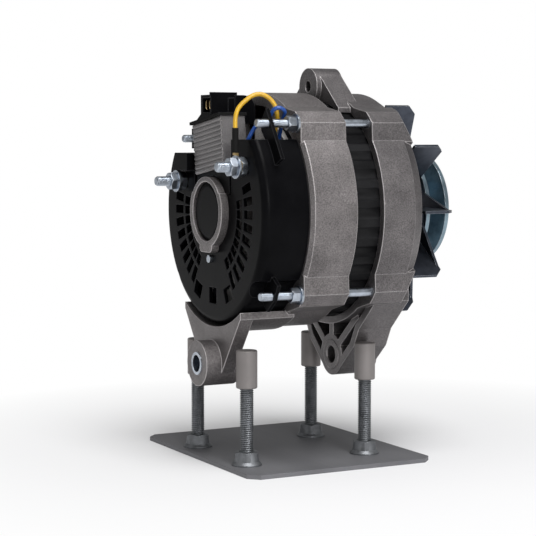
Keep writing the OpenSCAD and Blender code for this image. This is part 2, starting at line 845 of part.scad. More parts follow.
module rear_cover() {
    color("#202022")
        difference() {
            union() {
                intersection() {
                    along_shaft(cover_rear_x, sre_rear_x)
                        cover_section(cover_r, scallop_r);
                    cover_envelope();
                }
                along_shaft(cover_rear_x - cover_block_t, cover_rear_x + cover_wall)
                    cover_block_outline();
            }
            difference() {
                along_shaft(cover_rear_x + cover_wall, sre_rear_x + 1)
                    cover_section(cover_r - cover_wall, scallop_r + cover_wall);
                bar(cover_rear_x, cover_rear_x + 2 * cover_wall, 2 * post_r, post_at);
            }
            along_shaft(cover_rear_x - 9, sre_rear_x + 1)
                cover_mouth();
            along_shaft(cover_rear_x - 1, cover_rear_x + cover_wall + 1)
                cover_vents();
            for (at = [battery_at, ground_at])
                bar(cover_rear_x - 1, cover_rear_x + cover_wall + 1, term_bush_r + fit, at);
            bar(cover_rear_x - 1, cover_rear_x + 3 * cover_wall, post_r + gap, post_at);
        }
    color("#202022")
        difference() {
            bar(cover_rear_x, cover_rear_x + cover_wall, post_seat_r, post_at);
            bar(cover_rear_x - 1, cover_rear_x + cover_wall + 1, cover_screw_r + fit, post_at);
            along_shaft(cover_rear_x - 1, cover_rear_x + cover_wall + 1)
                cover_mouth();
        }
    color("#202022")
        along_shaft(cover_ear_x, cover_ear_x + cover_wall)
            difference() {
                union() {
                    upper_ear_outline();
                    lower_ear_outline();
                }
                circle(cover_r - cover_wall);
                for (i = [0, 1])
                    translate(polar(stud_circle_r, stud_angles[i]))
                        circle(stud_r + gap, $fn = 48);
            }
}

// Cross-section of the cover, scalloped round the through-studs
module cover_section(r, bite) {
    difference() {
        circle(r);
        for (a = stud_angles)
            translate(polar(stud_circle_r, a))
                circle(bite);
    }
}

// Outer form of the cover with its rounded rear edge
module cover_envelope() {
    turned() {
        translate([0, cover_rear_x + cover_edge_r])
            square([cover_r + 1, cover_len]);
        translate([0, cover_rear_x])
            square([cover_r - cover_edge_r, cover_edge_r + 1]);
        intersection() {
            translate([cover_r - cover_edge_r, cover_rear_x + cover_edge_r])
                circle(cover_edge_r, $fn = 48);
            translate([0, cover_rear_x - 1])
                square([cover_r + 1, cover_edge_r + 2]);
        }
    }
}

// Outline of the long ear on the upper near through-stud
module upper_ear_outline() {
    polygon([
        polar(cover_r, stud_top_angle - 5.3), polar(cover_ear_tip_r, stud_top_angle - 5.3),
        polar(cover_ear_out_r, stud_top_angle + 20.5), polar(cover_ear_in_r, stud_top_angle + 20.5),
        polar(cover_ear_in_r, stud_top_angle + 8)
    ]);
}

// Outline of the short ear on the lower near through-stud
module lower_ear_outline() {
    polygon([
        polar(cover_ear_in_r, stud_low_angle - 8), polar(cover_ear_out_r, stud_low_angle - 8),
        polar(cover_ear_out_r + 1.5, stud_low_angle), polar(cover_ear_out_r, stud_low_angle + 8),
        polar(cover_ear_in_r, stud_low_angle + 8)
    ]);
}

// Outline of the raised block on the cover, leaning and rounded on its far side
module cover_block_outline() {
    top_z = cover_block_at[1] + cover_block_h;
    c = [cover_block_top_y - cover_block_corner, top_z - cover_block_corner];
    foot = [cover_block_foot_y, cover_block_at[1]];
    polygon([
        cover_block_at, foot, touch(foot, c, cover_block_corner, 1), [c[0], top_z], [cover_block_at[0], top_z]
    ]);
    translate(c)
        circle(cover_block_corner, $fn = 48);
}

// Opening in the cover for the boss, the brush holder, the regulator and the leads
module cover_mouth() {
    beyond = cover_ear_tip_r + 5;
    circle(rear_boss_r + gap);
    boss_tab_outline(gap);
    polygon([
        [-mouth_half_y, saddle_z - 1], [mouth_half_y, saddle_z - 1], [mouth_half_y, mouth_far_z],
        [beyond, mouth_far_z], [beyond, beyond], [-beyond, beyond], [-beyond, mouth_near_z],
        [-mouth_half_y, mouth_near_z]
    ]);
}

// Two rows of vent slots on each side and the windows at the foot of the cover
module cover_vents() {
    for (side = [-1, 1]) {
        for (i = [0 : 8])
            if (i > 0 || side > 0)
                vent_slot(side * (vent_first_angle + i * vent_pitch), vent_outer_r, vent_outer_len);
        for (i = [0 : 7])
            vent_slot(side * (vent_inner_first_angle + i * vent_pitch), vent_inner_r, vent_inner_len);
        vent_slot(side * low_window_angle, low_window_r, 9, low_window_w);
    }
    vent_slot(180, low_window_mid_r, 9.5, low_window_w);
}

module vent_slot(a, r, length, w = vent_w) {
    rotate(a)
        translate([-w / 2, r])
            square([w, length]);
}

module cover_screw() {
    color("gainsboro") {
        bar(cover_rear_x - cover_screw_head_h, cover_rear_x, cover_screw_head_r, post_at);
        bar(cover_rear_x - 1, cover_rear_x + 11, cover_screw_r, post_at);
    }
}

module rear_foot_bush() {
    x0 = rear_foot_rear_x - 0.5;
    color("gainsboro")
        difference() {
            bar(x0, x0 + bush_len, bush_r, [0, -shaft_h]);
            bar(x0 - 1, x0 + bush_len + 1, bush_bore_r, [0, -shaft_h]);
        }
}

module bearing_retainer() {
    color("silver")
        difference() {
            turned_ring(front_brg_x - retainer_t, front_brg_x, retainer_in_r, front_boss_r);
            for (a = retainer_screw_angles)
                bar(front_brg_x - retainer_t - 1, front_brg_x + 1, retainer_screw_r + fit,
                    polar(retainer_screw_at, a));
        }
}

module retainer_screws() {
    color("gainsboro")
        for (a = retainer_screw_angles) {
            at = polar(retainer_screw_at, a);
            bar(front_brg_x - retainer_t - 0.9, front_brg_x - retainer_t, 2.6, at);
            bar(front_brg_x - retainer_t, front_brg_x + retainer_screw_len - retainer_t, retainer_screw_r, at);
        }
}

// Radius of the circle that a bearing's balls run on
function ball_circle(r_in, r_out) = (r_in + r_out) / 2;

// Radius of a bearing's balls, from the space between its rings
function ball_radius(r_in, r_out, race_t) = (r_out - r_in) / 2 - race_t + race_groove - ball_gap;

// One ring of a ball bearing, grooved for the balls
module bearing_ring(x, w, r0, r1, circle_r, groove_r) {
    color("lightgray")
        difference() {
            turned_ring(x, x + w, r0, r1);
            turned()
                translate([circle_r, x + w / 2])
                    circle(groove_r, $fn = 48);
        }
}

module bearing_balls(x, w, r_in, r_out, race_t, n) {
    r = ball_radius(r_in, r_out, race_t);
    color("white")
        for (i = [0 : n - 1])
            around(i * 360 / n)
                translate([x + w / 2, 0, shaft_h + ball_circle(r_in, r_out)])
                    sphere(r, $fn = 48);
}

module bearing_cage(x, w, r_in, r_out, race_t, n) {
    r = ball_radius(r_in, r_out, race_t);
    half_w = r + cage_edge;
    at = ball_circle(r_in, r_out);
    color("goldenrod")
        difference() {
            turned_ring(x + w / 2 - half_w, x + w / 2 + half_w, at - 1, at + 1);
            for (i = [0 : n - 1])
                around(i * 360 / n)
                    translate([x + w / 2, 0, shaft_h + at])
                        sphere(r + cage_gap, $fn = 48);
        }
}

module front_bearing_outer_ring() {
    r_in = shaft_r + fit;
    bearing_ring(front_brg_x, front_brg_w, front_brg_r - front_race_t, front_brg_r,
        ball_circle(r_in, front_brg_r), ball_radius(r_in, front_brg_r, front_race_t) + ball_gap);
}

module front_bearing_inner_ring() {
    r_in = shaft_r + fit;
    bearing_ring(front_brg_x, front_brg_w, r_in, r_in + front_race_t,
        ball_circle(r_in, front_brg_r), ball_radius(r_in, front_brg_r, front_race_t) + ball_gap);
}

module front_bearing_balls() {
    bearing_balls(front_brg_x, front_brg_w, shaft_r + fit, front_brg_r, front_race_t, front_ball_n);
}

module front_bearing_cage() {
    bearing_cage(front_brg_x, front_brg_w, shaft_r + fit, front_brg_r, front_race_t, front_ball_n);
}

module rear_bearing_outer_ring() {
    r_in = tail_r + fit;
    bearing_ring(rear_brg_x, rear_brg_w, rear_brg_r - rear_race_t, rear_brg_r,
        ball_circle(r_in, rear_brg_r), ball_radius(r_in, rear_brg_r, rear_race_t) + ball_gap);
}

module rear_bearing_inner_ring() {
    r_in = tail_r + fit;
    bearing_ring(rear_brg_x, rear_brg_w, r_in, r_in + rear_race_t,
        ball_circle(r_in, rear_brg_r), ball_radius(r_in, rear_brg_r, rear_race_t) + ball_gap);
}

module rear_bearing_balls() {
    bearing_balls(rear_brg_x, rear_brg_w, tail_r + fit, rear_brg_r, rear_race_t, rear_ball_n);
}

module rear_bearing_cage() {
    bearing_cage(rear_brg_x, rear_brg_w, tail_r + fit, rear_brg_r, rear_race_t, rear_ball_n);
}

module rear_bearing_cap() {
    x0 = boss_rear_x + cap_in;
    color("#1c1c1e")
        turned()
            polygon([
                [0, x0], [rear_brg_r - 3, x0], [rear_brg_r, x0 + 1], [rear_brg_r, x0 + cap_len],
                [rear_brg_r - 2, x0 + cap_len], [rear_brg_r - 2, x0 + 2.5], [0, x0 + 2.5]
            ]);
}

module rotor_shaft() {
    color("lightgray")
        difference() {
            turned()
                polygon([
                    [0, rear_brg_x - 0.4], [tail_r - 1, rear_brg_x - 0.4], [tail_r, rear_brg_x + 0.6],
                    [tail_r, sleeve_end_x + 0.4], [core_shaft_r, sleeve_end_x + 0.4],
                    [core_shaft_r, pole_front_x], [shoulder_r, pole_front_x],
                    [shoulder_r, front_brg_x], [shaft_r, front_brg_x], [shaft_r, pulley_front_x - 1],
                    [shaft_front_r, pulley_front_x], [shaft_front_r, shaft_end_x - 1],
                    [shaft_front_r - 1, shaft_end_x], [0, shaft_end_x]
                ]);
            key_box(fit);
        }
}

// The key, or the keyway that it sits in
module key_box(slack) {
    translate([fan_x - slack, -key_w / 2 - slack, shaft_h + key_foot - slack])
        cube([pulley_front_x - fan_x - 1 + 2 * slack, key_w + 2 * slack, key_top - key_foot + 2 * slack]);
}

// One pole half, drawn from its outer face x0 inwards in the direction s, first claw at the angle turn
module pole_half(x0, s, turn) {
    disc_x = x0 + s * pole_disc;
    tip_x = x0 + s * (pole_len - claw_tip_gap);
    root_w = claw_mid_w + claw_taper;
    tip_w = claw_mid_w - claw_taper;
    turned()
        polygon([
            [core_shaft_r + fit, x0], [claw_root_in_r + 3, x0], [claw_root_in_r + 3, disc_x],
            [core_r, disc_x], [core_r, rotor_mid_x], [core_shaft_r + fit, rotor_mid_x]
        ]);
    for (i = [0 : claw_n - 1])
        around(turn + i * claw_pitch)
            intersection() {
                turned()
                    polygon([
                        [claw_root_in_r, x0], [rotor_r - 2, x0], [rotor_r, x0 + s * 2], [rotor_r, tip_x],
                        [rotor_r - claw_tip, tip_x], [rotor_r - claw_root, disc_x],
                        [claw_root_in_r, disc_x]
                    ]);
                translate([0, 0, shaft_h])
                    linear_extrude(rotor_r + 1)
                        polygon([
                            [x0, -root_w / 2], [tip_x, -tip_w / 2], [tip_x, tip_w / 2], [x0, root_w / 2]
                        ]);
            }
}

module front_pole() {
    color("dimgray")
        pole_half(pole_front_x, -1, 0);
}

module rear_pole() {
    color("dimgray")
        pole_half(pole_rear_x, 1, claw_pitch / 2);
}

module coil_bobbin() {
    x0 = pole_rear_x + pole_disc + fit;
    x1 = pole_front_x - pole_disc - fit;
    color("ivory")
        turned()
            polygon([
                [core_r + fit, x0], [coil_r, x0], [coil_r, x0 + bobbin_wall],
                [core_r + bobbin_wall, x0 + bobbin_wall], [core_r + bobbin_wall, x1 - bobbin_wall],
                [coil_r, x1 - bobbin_wall], [coil_r, x1], [core_r + fit, x1]
            ]);
}

module field_coil() {
    color("orangered")
        turned_ring(pole_rear_x + pole_disc + 2 * fit + bobbin_wall,
            pole_front_x - pole_disc - 2 * fit - bobbin_wall, core_r + bobbin_wall + fit, coil_r - 0.4);
}

module slip_ring_sleeve() {
    color("#30302a")
        difference() {
            turned_ring(sleeve_x, sleeve_end_x, tail_r + fit, slip_ring_r - 0.6);
            for (x = slip_x)
                turned_ring(x, x + slip_ring_w, slip_seat_r, slip_ring_r + 1);
        }
}

module slip_rings() {
    color("peru")
        for (x = slip_x)
            turned_ring(x, x + slip_ring_w, slip_seat_r + fit, slip_ring_r);
}

module fan_spacer() {
    color("lightgray")
        turned()
            polygon([
                [shaft_r + fit, front_brg_end_x], [spacer_r - 1, front_brg_end_x],
                [spacer_r, front_brg_end_x + 1], [spacer_r, fan_x], [shaft_r + fit, fan_x]
            ]);
}

module cooling_fan() {
    step = 360 / blade_n;
    color("gainsboro")
        difference() {
            union() {
                along_shaft(fan_x, fan_front_x) {
                    circle(fan_hub_r);
                    for (i = [0 : blade_n - 1])
                        fan_arm(blade_first_angle + i * step, step);
                }
                for (i = [0 : blade_n - 1])
                    around(blade_first_angle + i * step)
                        fan_blade();
            }
            turned_ring(fan_x - 1, fan_front_x + 1, 0, shaft_r + fit);
            key_box(fit);
        }
}

// Arm of the fan disc beside a blade, running out to the blade's outer corner
module fan_arm(a, step) {
    polygon([
        polar(fan_hub_r - 3, a - arm_set), polar(fan_tip_r - 0.6, a - arm_set),
        polar(fan_hub_r + 2.7, a - step / 2), polar(fan_hub_r - 3, a - step * 0.8)
    ]);
}

// Blade bent back from the disc along a radial line, with one corner cut off
module fan_blade() {
    translate([0, fan_t, shaft_h])
        rotate([90, 0, 0])
            linear_extrude(fan_t)
                polygon([
                    [fan_front_x, fan_hub_r - 2], [fan_front_x, fan_tip_r],
                    [fan_front_x - fan_chamfer, blade_r], [blade_rear_x, blade_r],
                    [blade_rear_x, fan_hub_r + 3], [fan_x - 3, fan_hub_r - 2]
                ]);
}

// One pressed half of the pulley: a hub plate and a flared flange, s is its side of the groove
module pulley_half(x_hub, s) {
    lip_x = pulley_mid_x + s * groove_w / 2;
    turned()
        polygon([
            [shaft_r + fit, pulley_mid_x], [pulley_hub_r, pulley_mid_x], [pulley_r, lip_x],
            [pulley_r, lip_x + s * pulley_t], [pulley_r - 1.5, lip_x + s * pulley_t],
            [pulley_hub_r, pulley_mid_x + s * pulley_t], [pulley_hub_r, x_hub], [shaft_r + fit, x_hub]
        ]);
}

module pulley_rear_half() {
    color("lightsteelblue")
        difference() {
            pulley_half(fan_front_x, -1);
            key_box(fit);
        }
}

module pulley_front_half() {
    color("lightsteelblue")
        difference() {
            pulley_half(pulley_front_x, 1);
            key_box(fit);
        }
}

module pulley_key() {
    color("gray")
        key_box(0);
}

module pulley_washer() {
    color("gainsboro")
        turned_ring(pulley_front_x, pulley_front_x + pulley_washer_t, shaft_front_r + fit,
            pulley_nut_af / 2 + 2);
}

module pulley_nut() {
    x0 = pulley_front_x + pulley_washer_t;
    color("gainsboro")
        hex_nut(x0, x0 + pulley_nut_h, pulley_nut_af, shaft_front_r + fit, [0, 0]);
}

// Place on the leaning regulator block, measured from its middle, in the cross-section
function reg_at(y, z) = [
    reg_mid_y + y * cos(reg_lean) + z * sin(reg_lean), reg_mid_z - y * sin(reg_lean) + z * cos(reg_lean)
];

module brush_holder() {
    color("#242426")
        difference() {
            union() {
                along_shaft(holder_rear_x, chute_end_x)
                    difference() {
                        polygon([
                            [-holder_half_y, saddle_z + gap], [-holder_half_y, blue_foot_z],
                            [-holder_half_y + 3.4, blue_foot_z], reg_at(-reg_w / 2, -reg_h / 2 - fit),
                            reg_at(reg_w / 2, -reg_h / 2 - fit), [holder_half_y, saddle_z + gap]
                        ]);
                        circle(saddle_r + gap);
                    }
                translate([chute_x, -chute_half_y, shaft_h + chute_z])
                    cube([chute_end_x - chute_x, 2 * chute_half_y, chute_top_z - chute_z]);
            }
            for (x = slip_x)
                translate([
                    x + slip_ring_w / 2 - brush_x_len / 2 - brush_gap, -brush_y / 2 - brush_gap, shaft_h
                ])
                    cube([brush_x_len + 2 * brush_gap, brush_y + 2 * brush_gap, pocket_top_z]);
        }
}

// A carbon brush with its foot shaped to the slip ring that starts at x
module brush(x) {
    color("#3a3a3c")
        difference() {
            translate([x + (slip_ring_w - brush_x_len) / 2, -brush_y / 2, shaft_h + brush_z - 1])
                cube([brush_x_len, brush_y, brush_len + 1]);
            turned_ring(x - 1, x + slip_ring_w + 1, 0, brush_z);
        }
}

module positive_brush() {
    brush(slip_x[0]);
}

module negative_brush() {
    brush(slip_x[1]);
}

// Coil spring between a brush and the roof of its pocket
module brush_spring(x) {
    turns = 5;
    steps = 14;
    sides = 6;
    wire_r = 0.3;
    coil = spring_r;
    z0 = brush_z + brush_len + wire_r;
    rise = pocket_top_z - wire_r - z0;
    mid_x = x + slip_ring_w / 2;
    path = [
        for (i = [0 : turns * steps])
            let (a = i * 360 / steps)
            [mid_x + coil * cos(a), coil * sin(a), shaft_h + z0 + rise * i / (turns * steps)]
    ];
    color("gray")
        swept_tube(path, wire_r, sides);
}

module positive_brush_spring() {
    brush_spring(slip_x[0]);
}

module negative_brush_spring() {
    brush_spring(slip_x[1]);
}

module regulator_body() {
    groove = fin_pitch * 0.28;
    color("darkgray")
        translate([0, reg_mid_y, shaft_h + reg_mid_z])
            rotate([-reg_lean, 0, 0])
                difference() {
                    translate([reg_rear_x, -reg_w / 2, -reg_h / 2])
                        cube([reg_d, reg_w, reg_h]);
                    for (i = [0 : fin_n])
                        translate([reg_rear_x - groove * 0.4, 0, -reg_h / 2 + i * fin_pitch])
                            rotate([90, 0, 0])
                                cylinder(h = reg_w + 2, r = groove, center = true, $fn = 24);
                }
}

module regulator_gasket() {
    color("#1c1c1e")
        translate([0, reg_mid_y, shaft_h + reg_mid_z])
            rotate([-reg_lean, 0, 0])
                translate([reg_rear_x - 1, -reg_w / 2 - 0.8, reg_h / 2])
                    cube([reg_d + 2, reg_w + 2.6, gasket_t]);
}

// Place on top of the gasket at a distance y across the shaft line
function on_gasket(y) =
    let (top = reg_at(0, reg_h / 2 + gasket_t))
    [y, top[1] - (y - top[0]) * tan(reg_lean)];

// Plug-in connector: a foot on the gasket, a socket that opens to the rear, and a duct down to the brushes
module connector_block() {
    near = connector_near + connector_inset;
    color("#28282a") {
        difference() {
            union() {
                along_shaft(connector_rear_x, connector_front_x)
                    polygon([
                        on_gasket(near), [near, connector_base_z], [connector_near, connector_base_z],
                        [connector_near, connector_top_z], [connector_far, connector_top_z],
                        [connector_far, connector_base_z], on_gasket(connector_foot_far)
                    ]);
                along_shaft(connector_rear_x - connector_inset / 2, connector_front_x + connector_inset / 2)
                    translate([connector_near, connector_top_z - 1])
                        square([connector_plate_t, connector_plate_z - connector_top_z + 1]);
                along_shaft(connector_rib_x[0], connector_rib_x[1])
                    translate([connector_near - connector_inset / 2, socket_z[0]])
                        square([1, socket_z[1] - socket_z[0]]);
            }
            along_shaft(connector_rear_x - 1, connector_rear_x + socket_depth)
                translate([socket_y[0], socket_z[0]])
                    square([socket_y[1] - socket_y[0], socket_z[1] - socket_z[0]]);
        }
        translate([0, hump_far, shaft_h])
            rotate([90, 0, 0])
                linear_extrude(hump_far - hump_near)
                    duct_outline();
    }
}

// Side outline of the connector's duct, which passes in front of the gasket and is rounded over its end
module duct_outline() {
    foot_x = gasket_front_x + gap;
    arc_at = [hump_end_x - hump_r, hump_top_z - hump_r];
    intersection() {
        union() {
            translate([connector_front_x - 1, connector_base_z])
                square([hump_end_x - connector_front_x + 1, hump_top_z - connector_base_z]);
            translate([foot_x, hump_foot_z])
                square([hump_end_x - foot_x, connector_base_z - hump_foot_z + 1]);
        }
        union() {
            translate(arc_at)
                circle(hump_r, $fn = 48);
            translate([arc_at[0] - reg_d, hump_foot_z])
                square([reg_d, hump_top_z - hump_foot_z]);
            translate([arc_at[0] - 1, hump_foot_z])
                square([hump_r + 1, arc_at[1] - hump_foot_z]);
        }
    }
}

// Flat contacts with rounded tips, standing in the connector's socket
module contact_blades() {
    tip_x = connector_rear_x + 0.2;
    end_x = connector_rear_x + socket_depth;
    color("gold")
        for (y = contact_y)
            translate([0, y + contact_t, shaft_h])
                rotate([90, 0, 0])
                    linear_extrude(contact_t) {
                        translate([tip_x + contact_corner, contact_z[0]])
                            square([end_x - tip_x - contact_corner, contact_z[1] - contact_z[0]]);
                        translate([tip_x, contact_z[0] + contact_corner])
                            square([contact_corner + 1, contact_z[1] - contact_z[0] - 2 * contact_corner]);
                        for (z = [contact_z[0] + contact_corner, contact_z[1] - contact_corner])
                            translate([tip_x + contact_corner, z])
                                circle(contact_corner, $fn = 48);
                    }
}

// Outline of both heat sinks, open at the top for the brush holder
module sink_outline() {
    difference() {
        circle(sink_r);
        circle(sink_in_r);
        translate([-sink_mouth_y, 0])
            square([2 * sink_mouth_y, sink_r + 1]);
        translate(post_at)
            circle(post_r + 1);
        for (a = sink_screw_angles)
            translate(polar(sink_screw_r, a))
                circle(sink_screw_shank_r + fit);
    }
}

module positive_heat_sink() {
    color("silver") {
        along_shaft(pos_sink_x, pos_sink_x + sink_t)
            difference() {
                sink_outline();
                for (a = pos_diode_angles)
                    translate(polar(diode_circle_r, a))
                        circle(diode_r + fit);
                for (a = neg_diode_angles)
                    translate(polar(diode_circle_r, a))
                        circle(diode_r * 0.6);
                translate(battery_at)
                    circle(term_r + fit);
                translate(ground_at)
                    circle(term_bush_r + 1);
            }
        lead_tag(pos_sink_x + sink_t, yellow_path, yellow_r, 1);
    }
}

module negative_heat_sink() {
    color("silver") {
        along_shaft(neg_sink_x, sre_rear_x)
            difference() {
                sink_outline();
                for (a = neg_diode_angles)
                    translate(polar(diode_circle_r, a))
                        circle(diode_r + fit);
                translate(ground_at)
                    circle(term_r + fit);
            }
        lead_tag(neg_sink_x, blue_path, blue_r, -1);
    }
}

// Tag on a heat sink's face that holds the end of a lead
module lead_tag(face_x, path, r, s) {
    last = path[len(path) - 1];
    reach = s * (last[0] - face_x) + r;
    translate([s > 0 ? face_x : face_x - reach, last[1] - r - 0.4, shaft_h + last[2] - lead_gap - tag_h])
        cube([reach, 2 * r + 0.8, tag_h]);
}

module rectifier_diodes() {
    color("lightgray") {
        for (a = pos_diode_angles) {
            bar(pos_sink_x - 1.5, pos_sink_x + sink_t + 2, diode_r, polar(diode_circle_r, a));
            bar(pos_sink_x - 6, pos_sink_x - 1.5, 0.8, polar(diode_circle_r, a));
        }
        for (a = neg_diode_angles) {
            bar(neg_sink_x - 3, sre_rear_x, diode_r, polar(diode_circle_r, a));
            bar(pos_sink_x - 6, neg_sink_x - 3, 0.8, polar(diode_circle_r, a));
        }
    }
}

module heat_sink_spacers() {
    color("#e8e4d8")
        for (a = sink_screw_angles)
            difference() {
                bar(pos_sink_x + sink_t, neg_sink_x, 4, polar(sink_screw_r, a));
                bar(pos_sink_x, neg_sink_x + 1, sink_screw_shank_r + fit, polar(sink_screw_r, a));
            }
}

module heat_sink_screws() {
    color("gainsboro")
        for (a = sink_screw_angles) {
            bar(pos_sink_x - 2.4, pos_sink_x, 3.8, polar(sink_screw_r, a));
            bar(pos_sink_x - 1, sre_rear_x + 3.5, sink_screw_shank_r, polar(sink_screw_r, a));
        }
}

module terminal_bushes() {
    color("#30302a")
        for (t = [[battery_at, pos_sink_x], [ground_at, neg_sink_x]])
            difference() {
                bar(cover_rear_x, t[1], term_bush_r, t[0]);
                bar(cover_rear_x - 1, t[1] + 1, term_r + fit, t[0]);
            }
}

// A terminal stud with a chamfered tip, and a neck where the thread's free end meets the outer nut
module terminal_stud(tip_x, seat_x, at) {
    chamfer = 0.8;
    neck_x = term_nuts_x - term_neck_len;
    bar(tip_x + chamfer, neck_x, term_r, at);
    bar(neck_x - 0.1, term_nuts_x + 0.1, term_neck_r, at);
    bar(term_nuts_x, seat_x, term_r, at);
    translate([tip_x, at[0], shaft_h + at[1]])
        rotate([0, 90, 0])
            cylinder(h = chamfer, r1 = term_r - chamfer, r2 = term_r, $fn = 48);
}

module battery_stud() {
    seat_x = pos_sink_x + sink_t;
    color("gainsboro") {
        terminal_stud(battery_tip_x, seat_x + 1, battery_at);
        hex_nut(seat_x, seat_x + 2.4, term_nut_af, 0.5, battery_at);
    }
}

module ground_stud() {
    color("gainsboro")
        terminal_stud(ground_tip_x, sre_rear_x, ground_at);
}

module phase_block() {
    color("#242426")
        difference() {
            along_shaft(pos_sink_x - 9, pos_sink_x)
                translate(phase_at - [phase_block_near, phase_block_size[1] / 2])
                    square(phase_block_size);
            bar(pos_sink_x - 10, pos_sink_x - 1, phase_r + fit, phase_at);
        }
}

module phase_stud() {
    color("gainsboro")
        bar(phase_tip_x, pos_sink_x - 1, phase_r, phase_at);
}

// Nuts on the battery and ground studs: one on the cover, one flanged nut outside the terminal
module terminal_nuts() {
    color("gainsboro")
        for (at = [battery_at, ground_at]) {
            hex_nut(cover_rear_x - term_lock_h, cover_rear_x, term_nut_af, term_r + fit, at, 10);
            hex_nut(term_nuts_x, term_nuts_x + term_nut_h, term_nut_af, term_r + fit, at, 25);
        }
}

module terminal_washers() {
    x2 = cover_rear_x - term_lock_h - ring_term_t;
    color("gainsboro")
        for (at = [battery_at, ground_at])
            difference() {
                bar(x2 - term_washer_t, at == battery_at ? x2 : x2 + ring_term_t, term_washer_r, at);
                bar(x2 - term_washer_t - 1, x2 + 2, term_r + fit, at);
            }
}

module ring_terminal() {
    x1 = cover_rear_x - term_lock_h;
    foot = yellow_path[0];
    tab_z = battery_at[1] + term_washer_r + fit;
    color("#c9b27a")
        difference() {
            union() {
                bar(x1 - ring_term_t, x1, 5.4, battery_at);
                translate([x1 - ring_term_t, foot[1] - 1.6, shaft_h + battery_at[1]])
                    cube([ring_term_t, 3.2, foot[2] - battery_at[1] - fit]);
                translate([foot[0] - 1, foot[1] - 1.4, shaft_h + tab_z])
                    cube([x1 - foot[0] + 1, 2.8, foot[2] - fit - tab_z]);
            }
            bar(x1 - 3, x1 + 1, term_r + fit, battery_at);
        }
}

// Tube swept along a path, with flat ends and its rings square to the path
module swept_tube(path, r, sides) {
    n = len(path);
    points = [
        for (i = [0 : n - 1])
            let (
                ahead = path[min(i + 1, n - 1)] - path[max(i - 1, 0)],
                t = ahead / norm(ahead),
                u0 = cross(t, [1, 0.3, 0]),
                u = u0 / norm(u0),
                v = cross(t, u)
            )
            for (k = [0 : sides - 1])
                path[i] + r * (cos(k * 360 / sides) * u + sin(k * 360 / sides) * v)
    ];
    walls = [
        for (i = [0 : n - 2])
            for (k = [0 : sides - 1])
                [
                    i * sides + k, (i + 1) * sides + k,
                    (i + 1) * sides + (k + 1) % sides, i * sides + (k + 1) % sides
                ]
    ];
    ends = [
        [for (k = [0 : sides - 1]) k],
        [for (k = [sides - 1 : -1 : 0]) (n - 1) * sides + k]
    ];
    polyhedron(points, concat(walls, ends), convexity = 6);
}

// The points of a lead, lifted to the shaft axis
function lifted(path) = [for (p = path) p + [0, 0, shaft_h]];

module yellow_lead() {
    color("gold")
        swept_tube(lifted(yellow_path), yellow_r, 8);
}

module blue_lead() {
    color("royalblue")
        swept_tube(lifted(blue_path), blue_r, 8);
}

// Sleeve over the yellow lead, shaped to its straight first stretch
module lead_sleeve() {
    foot = yellow_path[0];
    color("#1c1c1e")
        difference() {
            translate([foot[0], foot[1], shaft_h + foot[2]])
                cylinder(h = sleeve_len, r = sleeve_out_r, $fn = 48);
            translate([foot[0], foot[1], shaft_h + foot[2] - 1])
                cylinder(h = sleeve_len + 2, r = yellow_r + fit, $fn = 48);
        }
}

drive_end_bracket();
slip_ring_end_bracket();
stator_core();
stator_windings();
through_studs();
stud_nuts();
stud_washers();
rear_cover();
rear_foot_bush();
bearing_retainer();
retainer_screws();
front_bearing_outer_ring();
front_bearing_inner_ring();
front_bearing_balls();
front_bearing_cage();
rear_bearing_outer_ring();
rear_bearing_inner_ring();
rear_bearing_balls();
rear_bearing_cage();
rear_bearing_cap();
rotor_shaft();
front_pole();
rear_pole();
coil_bobbin();
field_coil();
slip_ring_sleeve();
slip_rings();
fan_spacer();
cooling_fan();
pulley_rear_half();
pulley_front_half();
pulley_key();
pulley_washer();
pulley_nut();
brush_holder();
positive_brush();
negative_brush();
positive_brush_spring();
negative_brush_spring();
regulator_body();
regulator_gasket();
connector_block();
contact_blades();
positive_heat_sink();
negative_heat_sink();
rectifier_diodes();
heat_sink_spacers();
heat_sink_screws();
terminal_bushes();
battery_stud();
ground_stud();
phase_stud();
phase_block();
terminal_nuts();
terminal_washers();
ring_terminal();
yellow_lead();
lead_sleeve();
blue_lead();
cover_screw();
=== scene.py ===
"""Looks of a foot-mounted alternator with an external fan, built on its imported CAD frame, in metres."""

import json
import math

import bmesh
import bpy
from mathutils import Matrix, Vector


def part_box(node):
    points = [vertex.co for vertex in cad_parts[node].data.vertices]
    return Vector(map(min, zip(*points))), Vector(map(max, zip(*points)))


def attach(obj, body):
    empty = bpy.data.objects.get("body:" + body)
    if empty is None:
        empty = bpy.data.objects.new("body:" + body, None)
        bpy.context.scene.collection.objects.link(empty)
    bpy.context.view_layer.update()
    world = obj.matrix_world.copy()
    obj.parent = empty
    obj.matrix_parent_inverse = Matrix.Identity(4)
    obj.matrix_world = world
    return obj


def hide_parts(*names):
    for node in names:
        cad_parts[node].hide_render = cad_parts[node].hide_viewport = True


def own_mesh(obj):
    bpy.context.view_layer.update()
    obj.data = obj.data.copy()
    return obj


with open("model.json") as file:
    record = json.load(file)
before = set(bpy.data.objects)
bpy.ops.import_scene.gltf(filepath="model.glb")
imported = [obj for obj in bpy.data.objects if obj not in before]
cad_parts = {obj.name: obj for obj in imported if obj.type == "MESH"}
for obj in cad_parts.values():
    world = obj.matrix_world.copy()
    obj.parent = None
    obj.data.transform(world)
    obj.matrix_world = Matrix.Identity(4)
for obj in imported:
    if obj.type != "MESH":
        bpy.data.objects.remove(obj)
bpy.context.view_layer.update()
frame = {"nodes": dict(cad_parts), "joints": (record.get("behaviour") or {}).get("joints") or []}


# Camera
# It looks at the battery stud side from behind, a little above the shaft, with a long lens that keeps
# the shaft line nearly free of perspective.
camera_data = bpy.data.cameras.new("camera")
camera_data.lens = 113.1
camera_data.sensor_width = 36
camera_data.clip_start = 0.05
camera = bpy.data.objects.new("camera", camera_data)
camera.location = (-0.5115, -0.8943, 0.1342)
